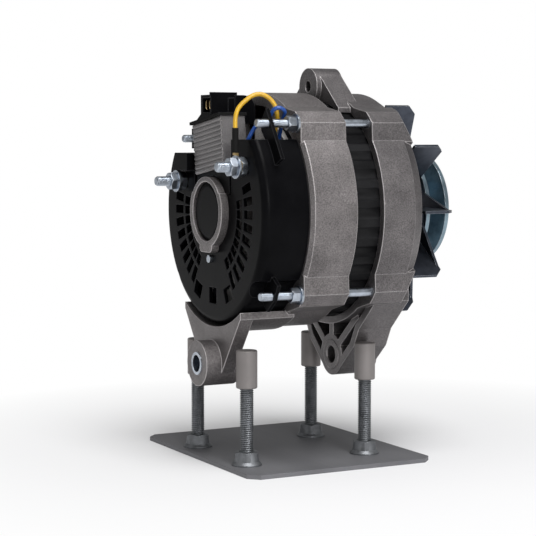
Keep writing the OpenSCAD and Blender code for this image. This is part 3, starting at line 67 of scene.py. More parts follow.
sight_line = Vector((0.4619, 0.8835, -0.0785))
camera.rotation_euler = sight_line.to_track_quat("-Z", "Y").to_euler()
bpy.context.collection.objects.link(camera)
bpy.context.scene.camera = camera


# Leads
# Two single-core leads in soft vinyl: the yellow one runs from the ring terminal on the battery stud over
# the top into the cover, the blue one from the brush holder round the upper stud into the cover.
MM = 0.001
SHAFT_Z = frame["joints"][0]["pos_m"][2]


def new_material(name):
    """A material with its node tree emptied but for a Principled shader."""
    material = bpy.data.materials.new(name)
    material.use_nodes = True
    tree = material.node_tree
    return material, tree, tree.nodes["Principled BSDF"]


def add_node(tree, kind, **values):
    """A node with the given attributes; a value whose key names an input socket is set on that socket."""
    node = tree.nodes.new("ShaderNode" + kind)
    for key, value in values.items():
        if key in node.inputs:
            node.inputs[key].default_value = value
        else:
            setattr(node, key, value)
    return node


def new_effect(name, inputs, outputs):
    """An empty node group with named sockets, and its input and output nodes."""
    tree = bpy.data.node_groups.new(name, "ShaderNodeTree")
    for label, kind, value in inputs:
        socket = tree.interface.new_socket(name=label, in_out="INPUT", socket_type="NodeSocket" + kind)
        socket.default_value = value
    for label, kind in outputs:
        tree.interface.new_socket(name=label, in_out="OUTPUT", socket_type="NodeSocket" + kind)
    return tree, tree.nodes.new("NodeGroupInput"), tree.nodes.new("NodeGroupOutput")


def place_effect(tree, effect, **values):
    """Puts an effect in a material and sets its inputs; a space in a socket's name is written as _."""
    node = tree.nodes.new("ShaderNodeGroup")
    node.node_tree = effect
    for key, value in values.items():
        node.inputs[key.replace("_", " ")].default_value = value
    return node


def ramp(tree, low, high, source, low_at=0.0, high_at=1.0):
    """Colour that runs from low to high as the source value does between two places."""
    node = tree.nodes.new("ShaderNodeValToRGB")
    node.color_ramp.elements[0].position = low_at
    node.color_ramp.elements[0].color = (*low, 1)
    node.color_ramp.elements[1].position = high_at
    node.color_ramp.elements[1].color = (*high, 1)
    tree.links.new(source, node.inputs["Fac"])
    return node.outputs["Color"]


def grain_effect():
    """Mottling and fine grain that follow the object: Broad and Fine run from 0 to 1."""
    tree, given, out = new_effect(
        "surface_grain",
        [("Fine Scale", "Float", 1500.0), ("Broad Scale", "Float", 60.0), ("Stretch", "Vector", (1, 1, 1))],
        [("Fine", "Float"), ("Broad", "Float")],
    )
    place = add_node(tree, "TexCoord")
    stretch = add_node(tree, "VectorMath", operation="MULTIPLY")
    tree.links.new(place.outputs["Object"], stretch.inputs[0])
    tree.links.new(given.outputs["Stretch"], stretch.inputs[1])
    for label, detail in (("Fine", 3.0), ("Broad", 4.0)):
        noise = add_node(tree, "TexNoise", Detail=detail, Roughness=0.6)
        tree.links.new(stretch.outputs[0], noise.inputs["Vector"])
        tree.links.new(given.outputs[label + " Scale"], noise.inputs["Scale"])
        tree.links.new(noise.outputs["Fac"], out.inputs[label])
    return tree


def edge_effect():
    """Rounded edges: Normal rolls over each edge, and Edge is 1 on it and 0 on a flat or smooth surface."""
    tree, given, out = new_effect(
        "rounded_edge",
        [("Radius", "Float", 0.0005)],
        [("Normal", "Vector"), ("Edge", "Float")],
    )
    rolled = add_node(tree, "Bevel", samples=6)
    plain = add_node(tree, "NewGeometry")
    match = add_node(tree, "VectorMath", operation="DOT_PRODUCT")
    edge = add_node(tree, "MapRange", clamp=True)
    edge.inputs["From Min"].default_value = 0.995
    edge.inputs["From Max"].default_value = 0.86
    tree.links.new(given.outputs["Radius"], rolled.inputs["Radius"])
    tree.links.new(rolled.outputs["Normal"], match.inputs[0])
    tree.links.new(plain.outputs["Normal"], match.inputs[1])
    tree.links.new(match.outputs["Value"], edge.inputs["Value"])
    tree.links.new(rolled.outputs["Normal"], out.inputs["Normal"])
    tree.links.new(edge.outputs["Result"], out.inputs["Edge"])
    return tree


surface_grain = grain_effect()
rounded_edge = edge_effect()


def add_bump(tree, bsdf, height, depth, normal=None):
    """Relief of a real depth in metres on the shader's normal, over an edge normal where one is given."""
    bump = add_node(tree, "Bump", Strength=1.0, Distance=depth)
    tree.links.new(height, bump.inputs["Height"])
    if normal is not None:
        tree.links.new(normal, bump.inputs["Normal"])
    tree.links.new(bump.outputs["Normal"], bsdf.inputs["Normal"])


def vinyl(name, dark, bright):
    """Soft extruded vinyl: slightly mottled, with a fine grain."""
    material, tree, bsdf = new_material(name)
    grain = place_effect(tree, surface_grain, Fine_Scale=2500.0, Broad_Scale=220.0)
    tree.links.new(ramp(tree, dark, bright, grain.outputs["Broad"], 0.35, 0.65), bsdf.inputs["Base Color"])
    add_bump(tree, bsdf, grain.outputs["Fine"], 0.00003)
    bsdf.inputs["Roughness"].default_value = 0.38
    bsdf.inputs["Coat Weight"].default_value = 0.15
    return material


def lead(name, node, points_mm, radius_mm, material):
    """A lead along its route, given from the shaft axis in millimetres, as a smooth curve."""
    curve = bpy.data.curves.new(name, "CURVE")
    curve.dimensions = "3D"
    curve.bevel_depth = radius_mm * MM
    curve.bevel_resolution = 6
    curve.use_fill_caps = True
    spline = curve.splines.new("BEZIER")
    spline.bezier_points.add(len(points_mm) - 1)
    spline.resolution_u = 6
    for point, place in zip(spline.bezier_points, points_mm):
        point.co = Vector(place) * MM + Vector((0, 0, SHAFT_Z))
        point.handle_left_type = point.handle_right_type = "AUTO"
    piece = bpy.data.objects.new(name, curve)
    bpy.context.collection.objects.link(piece)
    curve.materials.append(material)
    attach(piece, "frame")
    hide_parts(node)
    start = spline.bezier_points[0].co
    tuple(start)


YELLOW_ROUTE = [
    (-86, -40.6, 34.8), (-86, -40.6, 40), (-86, -40.6, 47.6), (-86, -40.4, 50.8), (-85.7, -40.2, 54.4),
    (-84.4, -40.1, 58.8), (-82.2, -40.2, 61.8), (-79.2, -40.5, 64.4), (-75.8, -41, 66.8),
    (-72.2, -41.6, 67.9), (-69.6, -42.4, 67.7), (-67.2, -43.2, 66.5), (-65.2, -44, 64.8),
    (-63.7, -44.7, 62.6), (-62.6, -45.1, 60), (-61.7, -45, 57), (-61, -43.8, 53.4), (-61, -41.6, 48),
    (-61.6, -39.4, 42.6), (-62, -38, 38.6), (-62, -37.6, 36),
]
BLUE_ROUTE = [
    (-76, -20.8, 27.4), (-76, -21, 29), (-76.1, -23.4, 33), (-76.2, -28, 36.8), (-76.2, -32.6, 39.6),
    (-75.4, -36.2, 42.8), (-73.6, -37.2, 46.6), (-71.6, -37.6, 49.6), (-69.8, -38.4, 51.2),
    (-68.2, -40.2, 52.2), (-66.4, -42.4, 53.4), (-65.6, -44.4, 55.8), (-65.2, -46.2, 58.2),
    (-64, -47.5, 59.8), (-61.8, -48.3, 60.2), (-59.6, -48.6, 59.2), (-58.2, -47.8, 57.8),
    (-57.8, -46, 56.4), (-57.6, -43.8, 53), (-57.5, -41.2, 47), (-57.5, -38.8, 41.4), (-57.5, -37.9, 38.4),
    (-57.5, -37.8, 36),
]
lead("yellow_lead_piece", "yellow_lead", YELLOW_ROUTE, 1.3,
     vinyl("yellow_vinyl", (0.6, 0.34, 0.012), (0.72, 0.43, 0.02)))
lead("blue_lead_piece", "blue_lead", BLUE_ROUTE, 1.15,
     vinyl("blue_vinyl", (0.006, 0.045, 0.23), (0.01, 0.075, 0.34)))


# Floor, light and stand
# A white sweep under soft studio light. The alternator is held clear of it on a steel plate with four
# threaded rods, which are shown as stage props only.
FLOOR_Z = -0.0589


def white_floor():
    """A pale floor that keeps the shadow and runs out to pure white where only the camera sees it."""
    material, tree, bsdf = new_material("floor_white")
    bsdf.inputs["Roughness"].default_value = 0.9
    grain = place_effect(tree, surface_grain, Fine_Scale=80.0, Broad_Scale=3.0)
    pale = ramp(tree, (0.84, 0.84, 0.85), (0.88, 0.88, 0.89), grain.outputs["Broad"])
    tree.links.new(pale, bsdf.inputs["Base Color"])
    place = add_node(tree, "TexCoord")
    reach = add_node(tree, "VectorMath", operation="LENGTH")
    fade = add_node(tree, "MapRange", clamp=True)
    fade.inputs["From Min"].default_value = 0.05
    fade.inputs["From Max"].default_value = 0.32
    path = add_node(tree, "LightPath")
    seen = add_node(tree, "Math", operation="MAXIMUM")
    seen_any = add_node(tree, "Math", operation="MAXIMUM")
    share = add_node(tree, "Math", operation="MULTIPLY")
    glow = add_node(tree, "Emission", Strength=1.0)
    mix = add_node(tree, "MixShader")
    tree.links.new(place.outputs["Object"], reach.inputs[0])
    tree.links.new(reach.outputs["Value"], fade.inputs["Value"])
    tree.links.new(path.outputs["Is Camera Ray"], seen.inputs[0])
    tree.links.new(path.outputs["Is Glossy Ray"], seen.inputs[1])
    tree.links.new(seen.outputs[0], seen_any.inputs[0])
    tree.links.new(path.outputs["Is Transmission Ray"], seen_any.inputs[1])
    tree.links.new(fade.outputs["Result"], share.inputs[0])
    tree.links.new(seen_any.outputs[0], share.inputs[1])
    tree.links.new(share.outputs[0], mix.inputs["Fac"])
    tree.links.new(bsdf.outputs["BSDF"], mix.inputs[1])
    tree.links.new(glow.outputs["Emission"], mix.inputs[2])
    tree.links.new(mix.outputs["Shader"], tree.nodes["Material Output"].inputs["Surface"])
    return material


bpy.ops.mesh.primitive_plane_add(size=8, location=(0, 0, FLOOR_Z))
floor = bpy.context.object
floor.name = "floor"
floor.data.materials.append(white_floor())


def studio_world():
    """Even pale light all round that looks white behind the object."""
    world = bpy.data.worlds.new("studio")
    world.use_nodes = True
    tree = world.node_tree
    light = tree.nodes["Background"]
    path = add_node(tree, "LightPath")
    seen = add_node(tree, "Math", operation="MAXIMUM")
    strength = add_node(tree, "MapRange")
    strength.inputs["To Min"].default_value = 0.26
    strength.inputs["To Max"].default_value = 1.0
    tree.links.new(path.outputs["Is Camera Ray"], seen.inputs[0])
    tree.links.new(path.outputs["Is Transmission Ray"], seen.inputs[1])
    tree.links.new(seen.outputs[0], strength.inputs["Value"])
    tree.links.new(strength.outputs["Result"], light.inputs["Strength"])
    light.inputs["Color"].default_value = (1, 1, 1, 1)
    bpy.context.scene.world = world


def soft_light(name, place, size, power):
    """A square soft box aimed at the middle of the alternator."""
    middle = Vector((-0.02, 0, 0.08))
    data = bpy.data.lights.new(name, "AREA")
    data.shape = "SQUARE"
    data.size = size
    data.energy = power
    lamp = bpy.data.objects.new(name, data)
    lamp.location = place
    aim = middle - Vector(place)
    lamp.rotation_euler = aim.to_track_quat("-Z", "Y").to_euler()
    bpy.context.collection.objects.link(lamp)


studio_world()
soft_light("key_light", (-0.05, -0.6, 1.35), size=0.7, power=17)
soft_light("front_light", (-0.1, -1.35, 0.5), size=0.5, power=7)
soft_light("left_light", (-1.25, -0.15, 0.55), size=0.5, power=0.6)
bpy.context.scene.view_settings.view_transform = "Standard"


def mesh_piece(name, mesh, material):
    """An object in the scene made from a bmesh."""
    data = bpy.data.meshes.new(name)
    mesh.to_mesh(data)
    mesh.free()
    data.materials.append(material)
    piece = bpy.data.objects.new(name, data)
    bpy.context.collection.objects.link(piece)
    return piece


def shade_smooth(piece):
    """Smooth shading that leaves every edge of more than 35 degrees sharp."""
    bpy.context.view_layer.objects.active = piece
    piece.select_set(True)
    bpy.ops.object.shade_smooth_by_angle(angle=math.radians(35))
    piece.select_set(False)


def round_axis(along, steps):
    """The angle and the outward direction of each step of one turn round an axis."""
    side = along.orthogonal().normalized()
    up = along.cross(side)
    for step in range(steps):
        angle = 2 * math.pi * step / steps
        yield angle, side * math.cos(angle) + up * math.sin(angle)


def add_tube(mesh, rings):
    """Faces between each ring of corners and the next, closed at both ends."""
    around = len(rings[0])
    for a, b in zip(rings, rings[1:]):
        for step in range(around):
            nxt = (step + 1) % around
            mesh.faces.new((a[step], a[nxt], b[nxt], b[step]))
    mesh.faces.new(list(reversed(rings[0])))
    mesh.faces.new(rings[-1])


def add_thread(mesh, start, end, radius, pitch, depth, along=Vector((1, 0, 0))):
    """A rod with a real screw thread: a helical ridge wound on it, chamfered at both ends."""
    around = 28
    rows_a_pitch = 5
    end_chamfer = 1.2 * depth
    flank_slope = 1.6
    length = (end - start).length
    rows = max(int(length / pitch * rows_a_pitch), 4)
    rings = []
    for row in range(rows + 1):
        x = length * row / rows
        end_cut = max(0.0, 1 - min(x, length - x) / pitch) * end_chamfer
        ring = []
        for angle, ray in round_axis(along, around):
            phase = (x / pitch - angle / (2 * math.pi)) % 1.0
            ridge = min(1.0, abs(phase * 2 - 1) * flank_slope)
            r = min(radius - depth * (1 - ridge), radius - end_cut)
            ring.append(mesh.verts.new(start + along * x + ray * r))
        rings.append(ring)
    add_tube(mesh, rings)


def close_turn(mesh, rings, on_axis=()):
    """Faces from each turned outline to the next, but for the sides that lie on the axis."""
    for index, ring in enumerate(rings):
        nxt = rings[(index + 1) % len(rings)]
        for k in range(len(ring)):
            m = (k + 1) % len(ring)
            if k not in on_axis:
                mesh.faces.new((ring[k], nxt[k], nxt[m], ring[m]))
    bmesh.ops.remove_doubles(mesh, verts=mesh.verts, dist=1e-7)
    bmesh.ops.recalc_face_normals(mesh, faces=mesh.faces)


def add_turned(mesh, outline, centre, along=Vector((1, 0, 0)), steps=64):
    """A closed turned form from an outline of (radius, place along the axis) points."""
    rings = [
        [mesh.verts.new(centre + along * x + ray * r) for r, x in outline]
        for _, ray in round_axis(along, steps)
    ]
    after = outline[1:] + outline[:1]
    on_axis = [k for k, (a, b) in enumerate(zip(outline, after)) if a[0] == b[0] == 0]
    close_turn(mesh, rings, on_axis)


def add_flanged_nut(mesh, centre, flats, height, bore, flange, turn, along):
    """A hexagon nut with a chamfered top, on a conical flange."""
    corner = flats / 2 / math.cos(math.pi / 6)
    crown = flats / 2 * 0.97
    lead_in = flats * 0.05
    flange_top = height * 0.3
    flange_rim = flange_top * 0.35
    rings = []
    for angle, ray in round_axis(along, 72):
        wedge = (angle - turn) % (math.pi / 3) - math.pi / 6
        hexagon = flats / 2 / math.cos(wedge)
        drop = (hexagon - crown) * 0.55
        column = [
            (bore, 0.0),
            (flange, 0.0),
            (flange, flange_rim),
            (max(hexagon, corner * 0.98), flange_top),
            (hexagon, height - drop),
            (crown, height),
            (bore + lead_in, height),
            (bore, height - lead_in),
        ]
        rings.append([mesh.verts.new(centre + along * x + ray * r) for r, x in column])
    close_turn(mesh, rings)


def zinc_plate(name, tint=(0.5, 0.55, 0.62), rough=0.2, rim=0.9):
    """Zinc plating on turned or pressed steel: bluish, clouded, with a painted highlight along its edges.
    """
    material, tree, bsdf = new_material(name)
    grain = place_effect(tree, surface_grain, Fine_Scale=3000.0, Broad_Scale=180.0)
    edge = place_effect(tree, rounded_edge, Radius=0.00025)
    dull = tuple(0.6 * c for c in tint)
    clouded = ramp(tree, dull, tint, grain.outputs["Broad"], 0.3, 0.6)
    # The edges get a pale rim colour: a painted highlight.
    painted_rim_highlight = add_node(tree, "MixRGB", Color2=(rim * 0.9, rim * 0.95, rim, 1))
    tree.links.new(clouded, painted_rim_highlight.inputs["Color1"])
    tree.links.new(edge.outputs["Edge"], painted_rim_highlight.inputs["Fac"])
    tree.links.new(painted_rim_highlight.outputs["Color"], bsdf.inputs["Base Color"])
    shine = add_node(tree, "MapRange", clamp=True)
    shine.inputs["To Min"].default_value = rough
    shine.inputs["To Max"].default_value = rough + 0.2
    tree.links.new(grain.outputs["Broad"], shine.inputs["Value"])
    tree.links.new(shine.outputs["Result"], bsdf.inputs["Roughness"])
    bsdf.inputs["Metallic"].default_value = 1.0
    add_bump(tree, bsdf, grain.outputs["Fine"], 0.000012, edge.outputs["Normal"])
    return material


zinc = zinc_plate("bright_zinc")


def stand_metal(name, low, high):
    """Dull grey metal of the stand, brushed and lightly scuffed."""
    material, tree, bsdf = new_material(name)
    grain = place_effect(tree, surface_grain, Fine_Scale=900.0, Broad_Scale=25.0, Stretch=(1, 0.15, 1))
    edge = place_effect(tree, rounded_edge, Radius=0.0004)
    tree.links.new(ramp(tree, low, high, grain.outputs["Broad"], 0.3, 0.7), bsdf.inputs["Base Color"])
    bsdf.inputs["Metallic"].default_value = 0.4
    bsdf.inputs["Roughness"].default_value = 0.55
    add_bump(tree, bsdf, grain.outputs["Fine"], 0.00002, edge.outputs["Normal"])
    return material


def stand():
    """The plate, and four threaded rods with flanged nuts and turned sleeves beside the feet."""
    thickness = 0.0025
    top = FLOOR_Z + thickness
    corner = 0.006
    x0, x1, y0, y1 = -0.088, 0.0335, -0.0645, 0.0835
    plate = bmesh.new()
    outline = [(x0 + corner, y0), (x1 - corner, y0), (x1, y0 + corner), (x1, y1 - corner),
               (x1 - corner, y1), (x0 + corner, y1), (x0, y1 - corner), (x0, y0 + corner)]
    plate.faces.new([plate.verts.new((x, y, FLOOR_Z)) for x, y in outline])
    raised = bmesh.ops.extrude_face_region(plate, geom=plate.faces[:])["geom"]
    lifted = [vert for vert in raised if isinstance(vert, bmesh.types.BMVert)]
    bmesh.ops.translate(plate, verts=lifted, vec=(0, 0, thickness))
    bmesh.ops.recalc_face_normals(plate, faces=plate.faces)
    sheet = stand_metal("stand_plate_steel", (0.15, 0.15, 0.16), (0.2, 0.2, 0.212))
    props = [mesh_piece("stand_plate", plate, sheet)]
    lift = Vector((0, 0, 1))
    rod_radius = 0.004
    rod_top = -0.006
    sleeve = [(0.0042, -0.0114), (0.0058, -0.0114), (0.0062, -0.0109), (0.0062, 0.0101),
              (0.0058, 0.0106), (0, 0.0106), (0, 0.009), (0.0042, 0.009)]
    dull_zinc = zinc_plate("dull_zinc", (0.26, 0.27, 0.285), rough=0.42, rim=0.45)
    rods = bmesh.new()
    sleeves = bmesh.new()
    nuts = bmesh.new()
    for x in (-0.0752, 0.0041):
        for y in (-0.0332, 0.0332):
            foot = Vector((x, y, top))
            tip = Vector((x, y, rod_top))
            add_thread(rods, foot, tip, rod_radius, pitch=0.00125, depth=0.0009, along=lift)
            add_turned(sleeves, sleeve, Vector((x, y, 0)), lift)
            add_flanged_nut(nuts, foot, flats=0.013, height=0.008, bore=rod_radius, flange=0.0088,
                            turn=0.3, along=lift)
    turned = stand_metal("stand_sleeve_steel", (0.2, 0.185, 0.18), (0.27, 0.25, 0.245))
    props += [mesh_piece("stand_rods", rods, dull_zinc), mesh_piece("stand_sleeves", sleeves, turned),
              mesh_piece("stand_nuts", nuts, dull_zinc)]
    for prop in props[1:]:
        shade_smooth(prop)


stand()


# Drive-end and slip-ring-end brackets
# Two gravity-cast aluminium brackets, shot-blasted all over, whose joint faces, bores and foot ends are
# machined. They clamp the stack between them on the four through-studs.
def dress(node, material):
    """Gives a CAD node its finish."""
    piece = frame["nodes"][node]
    if not piece.material_slots:
        piece.data.materials.append(material)
    for slot in piece.material_slots:
        slot.material = material


def cast_aluminium(name, low=(0.14, 0.13, 0.13), high=(0.235, 0.218, 0.218), radius=0.0009, sand=0.34):
    """Shot-blasted cast aluminium: warm grey, sandy, and lighter along its edges: a painted edge highlight,
    partly rubbed wear.
    """
    material, tree, bsdf = new_material(name)
    grain = place_effect(tree, surface_grain, Fine_Scale=1400.0, Broad_Scale=38.0)
    edge = place_effect(tree, rounded_edge, Radius=radius)
    base = ramp(tree, low, high, grain.outputs["Broad"], 0.32, 0.68)
    speck = ramp(tree, (1 - sand,) * 3, (1 + sand,) * 3, grain.outputs["Fine"], 0.36, 0.66)
    sandy = add_node(tree, "MixRGB", blend_type="MULTIPLY", Fac=1.0)
    # Pale colour mixed in along the edges: a painted edge highlight, partly rubbed wear.
    rubbed_and_highlit = add_node(tree, "MixRGB", blend_type="MIX", Color2=(0.86, 0.82, 0.82, 1))
    amount = add_node(tree, "Math", operation="MULTIPLY")
    amount.inputs[1].default_value = 0.75
    tree.links.new(base, sandy.inputs["Color1"])
    tree.links.new(speck, sandy.inputs["Color2"])
    tree.links.new(sandy.outputs["Color"], rubbed_and_highlit.inputs["Color1"])
    tree.links.new(edge.outputs["Edge"], amount.inputs[0])
    tree.links.new(amount.outputs[0], rubbed_and_highlit.inputs["Fac"])
    tree.links.new(rubbed_and_highlit.outputs["Color"], bsdf.inputs["Base Color"])
    bsdf.inputs["Metallic"].default_value = 0.7
    bsdf.inputs["Roughness"].default_value = 0.46
    add_bump(tree, bsdf, grain.outputs["Fine"], 0.00011, edge.outputs["Normal"])
    return material


# The drive-end bracket and its foot boss get a darker copy of the casting finish: painted shade for the
# side that gets less light.
shaded_drive_end_casting = cast_aluminium("shaded_drive_end_casting", (0.105, 0.098, 0.1), (0.18, 0.168, 0.17))
dress("drive_end_bracket", shaded_drive_end_casting)
dress("slip_ring_end_bracket", cast_aluminium("slip_ring_end_casting"))


def front_foot_boss():
    """The machined boss face round the front foot's bore, a little proud of the foot."""
    bore = 0.0054
    rim = 0.0092
    bevel = 0.0003
    proud = 0.0004
    sunk = 0.0005
    outline = [(bore, bevel - proud), (bore + bevel, -proud), (rim - bevel, -proud), (rim, bevel - proud),
               (rim, sunk), (bore, sunk)]
    mesh = bmesh.new()
    add_turned(mesh, outline, Vector((0, 0, 0)))
    piece = mesh_piece("front_foot_boss", mesh, shaded_drive_end_casting)
    shade_smooth(piece)
    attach(piece, "frame")


front_foot_boss()


# Rear foot bush
# A steel bush, bright zinc plated. It is pressed in the rear foot and stands a little proud, so that it
# takes the bolt's clamping load.
dress("rear_foot_bush", zinc)


# Stator stack and windings
# Steel laminations welded into a pack, fluted outside and dipped in black varnish, wound with enamelled
# copper whose end turns stand out of both ends.
def varnished_stack():
    """Black varnish over stacked laminations: fine edge lines across the shaft, and runs along it."""
    material, tree, bsdf = new_material("varnished_stack")
    grain = place_effect(tree, surface_grain, Fine_Scale=700.0, Broad_Scale=90.0, Stretch=(0.35, 1, 1))
    layers = place_effect(tree, surface_grain, Fine_Scale=1.0, Broad_Scale=1.0, Stretch=(2600, 6, 6))
    edge = place_effect(tree, rounded_edge, Radius=0.0004)
    black = ramp(tree, (0.004, 0.004, 0.0045), (0.014, 0.014, 0.015), grain.outputs["Broad"], 0.35, 0.7)
    tree.links.new(black, bsdf.inputs["Base Color"])
    bsdf.inputs["Roughness"].default_value = 0.4
    bsdf.inputs["Specular IOR Level"].default_value = 0.12
    add_bump(tree, bsdf, layers.outputs["Fine"], 0.00008, edge.outputs["Normal"])
    return material


def enamelled_copper():
    """Enamelled wire: warm brown copper, mottled darker and lighter at random."""
    material, tree, bsdf = new_material("enamelled_copper")
    grain = place_effect(tree, surface_grain, Fine_Scale=1200.0, Broad_Scale=140.0)
    brown = ramp(tree, (0.16, 0.045, 0.015), (0.42, 0.16, 0.05), grain.outputs["Broad"], 0.3, 0.7)
    tree.links.new(brown, bsdf.inputs["Base Color"])
    bsdf.inputs["Metallic"].default_value = 0.6
    bsdf.inputs["Roughness"].default_value = 0.35
    add_bump(tree, bsdf, grain.outputs["Fine"], 0.00005)
    return material


copper_wire = enamelled_copper()
dress("stator_core", varnished_stack())


def add_wire(mesh, points, radius, sides=8):
    """A round wire along a list of points, closed at both ends."""
    rings = []
    for index, point in enumerate(points):
        ahead = points[min(index + 1, len(points) - 1)]
        behind = points[max(index - 1, 0)]
        along = (ahead - behind).normalized()
        outward = Vector((0, point.y, point.z - SHAFT_Z)).normalized()
        across = along.cross(outward).normalized()
        outward = across.cross(along)
        rings.append([
            mesh.verts.new(point + (across * math.cos(turn) + outward * math.sin(turn)) * radius)
            for turn in (2 * math.pi * step / sides for step in range(sides))
        ])
    add_tube(mesh, rings)


def windings():
    """Coils of four wires, each from the outer side of a slot to the inner side of the third after it."""
    slots = 36
    span = 3
    wire = 0.00085
    outer = 0.057
    inner = 0.0508
    face_rear = -0.026
    face_front = -0.002
    rise = 0.0081
    tuck = 0.001
    fullness = 2.5
    pitch = 2 * math.pi / slots
    steps = 16
    mesh = bmesh.new()
    for slot in range(slots):
        for deep in (-wire, wire):
            for wide in (-wire, wire):
                for face, way in ((face_rear, -1), (face_front, 1)):
                    points = []
                    for step in range(steps + 1):
                        t = step / steps
                        bow = 1 - abs(2 * t - 1) ** fullness
                        lean = math.pi * t
                        r = outer + (inner - outer) * t + deep
                        x = face + way * (rise * bow - tuck + wide * math.sin(lean))
                        turn = (slot + span * t) * pitch - wide * math.cos(lean) / r
                        points.append(Vector((x, -r * math.sin(turn), SHAFT_Z + r * math.cos(turn))))
                    add_wire(mesh, points, wire)
                for r in (outer + deep, inner + deep):
                    turn = slot * pitch + wide / r
                    y, z = -r * math.sin(turn), SHAFT_Z + r * math.cos(turn)
                    ends = (face_rear, face_front)
                    add_wire(mesh, [Vector((x, y, z)) for x in ends], wire)
    piece = mesh_piece("stator_windings_piece", mesh, copper_wire)
    shade_smooth(piece)
    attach(piece, "frame")
    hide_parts("stator_windings")


windings()


# Rotor
# A ground steel shaft with two forged claw poles pressed on it, which close over the field coil on its
# nylon bobbin. Two copper slip rings are seated in a nylon sleeve at its rear end.
def turned_steel(name, low, high, rough):
    """Ground or turned steel, brass or copper, with fine tool lines round the shaft."""
    material, tree, bsdf = new_material(name)
    grain = place_effect(tree, surface_grain, Fine_Scale=900.0, Broad_Scale=70.0, Stretch=(6, 1, 1))
    edge = place_effect(tree, rounded_edge, Radius=0.0002)
    tree.links.new(ramp(tree, low, high, grain.outputs["Broad"], 0.3, 0.7), bsdf.inputs["Base Color"])
    bsdf.inputs["Metallic"].default_value = 1.0
    bsdf.inputs["Roughness"].default_value = rough
    add_bump(tree, bsdf, grain.outputs["Fine"], 0.000012, edge.outputs["Normal"])
    return material


ground_steel = turned_steel("ground_steel", (0.42, 0.42, 0.43), (0.55, 0.55, 0.56), rough=0.22)
pole_steel = turned_steel("forged_pole_steel", (0.07, 0.07, 0.075), (0.13, 0.13, 0.135), rough=0.45)
dress("rotor_shaft", ground_steel)
dress("front_pole", pole_steel)
dress("rear_pole", pole_steel)
dress("field_coil", copper_wire)
dress("slip_rings", turned_steel("turned_copper", (0.55, 0.26, 0.14), (0.7, 0.36, 0.2), rough=0.25))


def moulded_nylon(name, low=(0.002, 0.002, 0.0025), high=(0.0045, 0.0045, 0.0053), radius=0.0006,
                  rough=0.3):
    """Moulded nylon, rubber or carbon: fine even texture, slightly paler along its edges from a painted
    highlight.
    """
    material, tree, bsdf = new_material(name)
    grain = place_effect(tree, surface_grain, Fine_Scale=2600.0, Broad_Scale=45.0)
    edge = place_effect(tree, rounded_edge, Radius=radius)
    base = ramp(tree, low, high, grain.outputs["Broad"], 0.3, 0.7)
    # Grey mixed in along the edges: a painted highlight.
    painted_edge_sheen = add_node(tree, "MixRGB", Color2=(0.07, 0.07, 0.076, 1))
    amount = add_node(tree, "Math", operation="MULTIPLY")
    amount.inputs[1].default_value = 0.5
    tree.links.new(edge.outputs["Edge"], amount.inputs[0])
    tree.links.new(amount.outputs[0], painted_edge_sheen.inputs["Fac"])
    tree.links.new(base, painted_edge_sheen.inputs["Color1"])
    tree.links.new(painted_edge_sheen.outputs["Color"], bsdf.inputs["Base Color"])
    shine = add_node(tree, "MapRange", clamp=True)
    shine.inputs["To Min"].default_value = rough - 0.06
    shine.inputs["To Max"].default_value = rough + 0.1
    tree.links.new(grain.outputs["Broad"], shine.inputs["Value"])
    tree.links.new(shine.outputs["Result"], bsdf.inputs["Roughness"])
    bsdf.inputs["Specular IOR Level"].default_value = 0.04
    add_bump(tree, bsdf, grain.outputs["Fine"], 0.000022, edge.outputs["Normal"])
    return material


black_nylon = moulded_nylon("black_nylon")
natural_nylon = moulded_nylon(
    "natural_nylon", (0.5, 0.47, 0.4), (0.62, 0.59, 0.52), radius=0.0003, rough=0.5
)
dress("coil_bobbin", natural_nylon)
dress("slip_ring_sleeve", black_nylon)


# Bearings
# Two deep-groove ball bearings of ground steel with brass cages. A zinc-plated plate and its screws hold
# the front one in its bracket, and a black nylon cap closes the boss of the rear one.
brass = turned_steel("rolled_brass", (0.5, 0.36, 0.16), (0.68, 0.5, 0.24), rough=0.28)
for bearing in ("front_bearing", "rear_bearing"):
    for turned_part in ("_outer_ring", "_inner_ring", "_balls"):
        dress(bearing + turned_part, ground_steel)
    dress(bearing + "_cage", brass)
dress("bearing_retainer", zinc)
dress("retainer_screws", zinc)
dress("rear_bearing_cap", black_nylon)


# Rectifier
# Two pressed aluminium heat sinks with steel diodes pressed in them. Natural nylon spacers keep them
# apart, and four zinc-plated screws hold them to the bracket.
sink_aluminium = cast_aluminium("sink_aluminium", (0.4, 0.39, 0.38), (0.5, 0.49, 0.48), radius=0.0003)
dress("positive_heat_sink", sink_aluminium)
dress("negative_heat_sink", sink_aluminium)
dress("rectifier_diodes", ground_steel)
dress("heat_sink_spacers", natural_nylon)
dress("heat_sink_screws", zinc)


# Rear cover, brush holder and connector
# Black glass-filled nylon mouldings with a fine eroded texture. The cover goes over the rectifier and is
# held by a screw; the holder and the connector with its brass blades are set in its mouth.
for moulding in ("rear_cover", "brush_holder", "connector_block"):
    dress(moulding, black_nylon)
dress("cover_screw", zinc)
dress("contact_blades", brass)


# Brushes and springs
# Two pressed carbon blocks that slide in the holder on to the slip rings. Each has a wound steel spring
# between its top and the roof of its pocket.
spring_steel = turned_steel("spring_wire", (0.3, 0.3, 0.31), (0.42, 0.42, 0.43), rough=0.3)
carbon = moulded_nylon(
    "pressed_carbon", (0.02, 0.02, 0.02), (0.05, 0.05, 0.05), radius=0.0002, rough=0.6
)
dress("positive_brush", carbon)
dress("negative_brush", carbon)


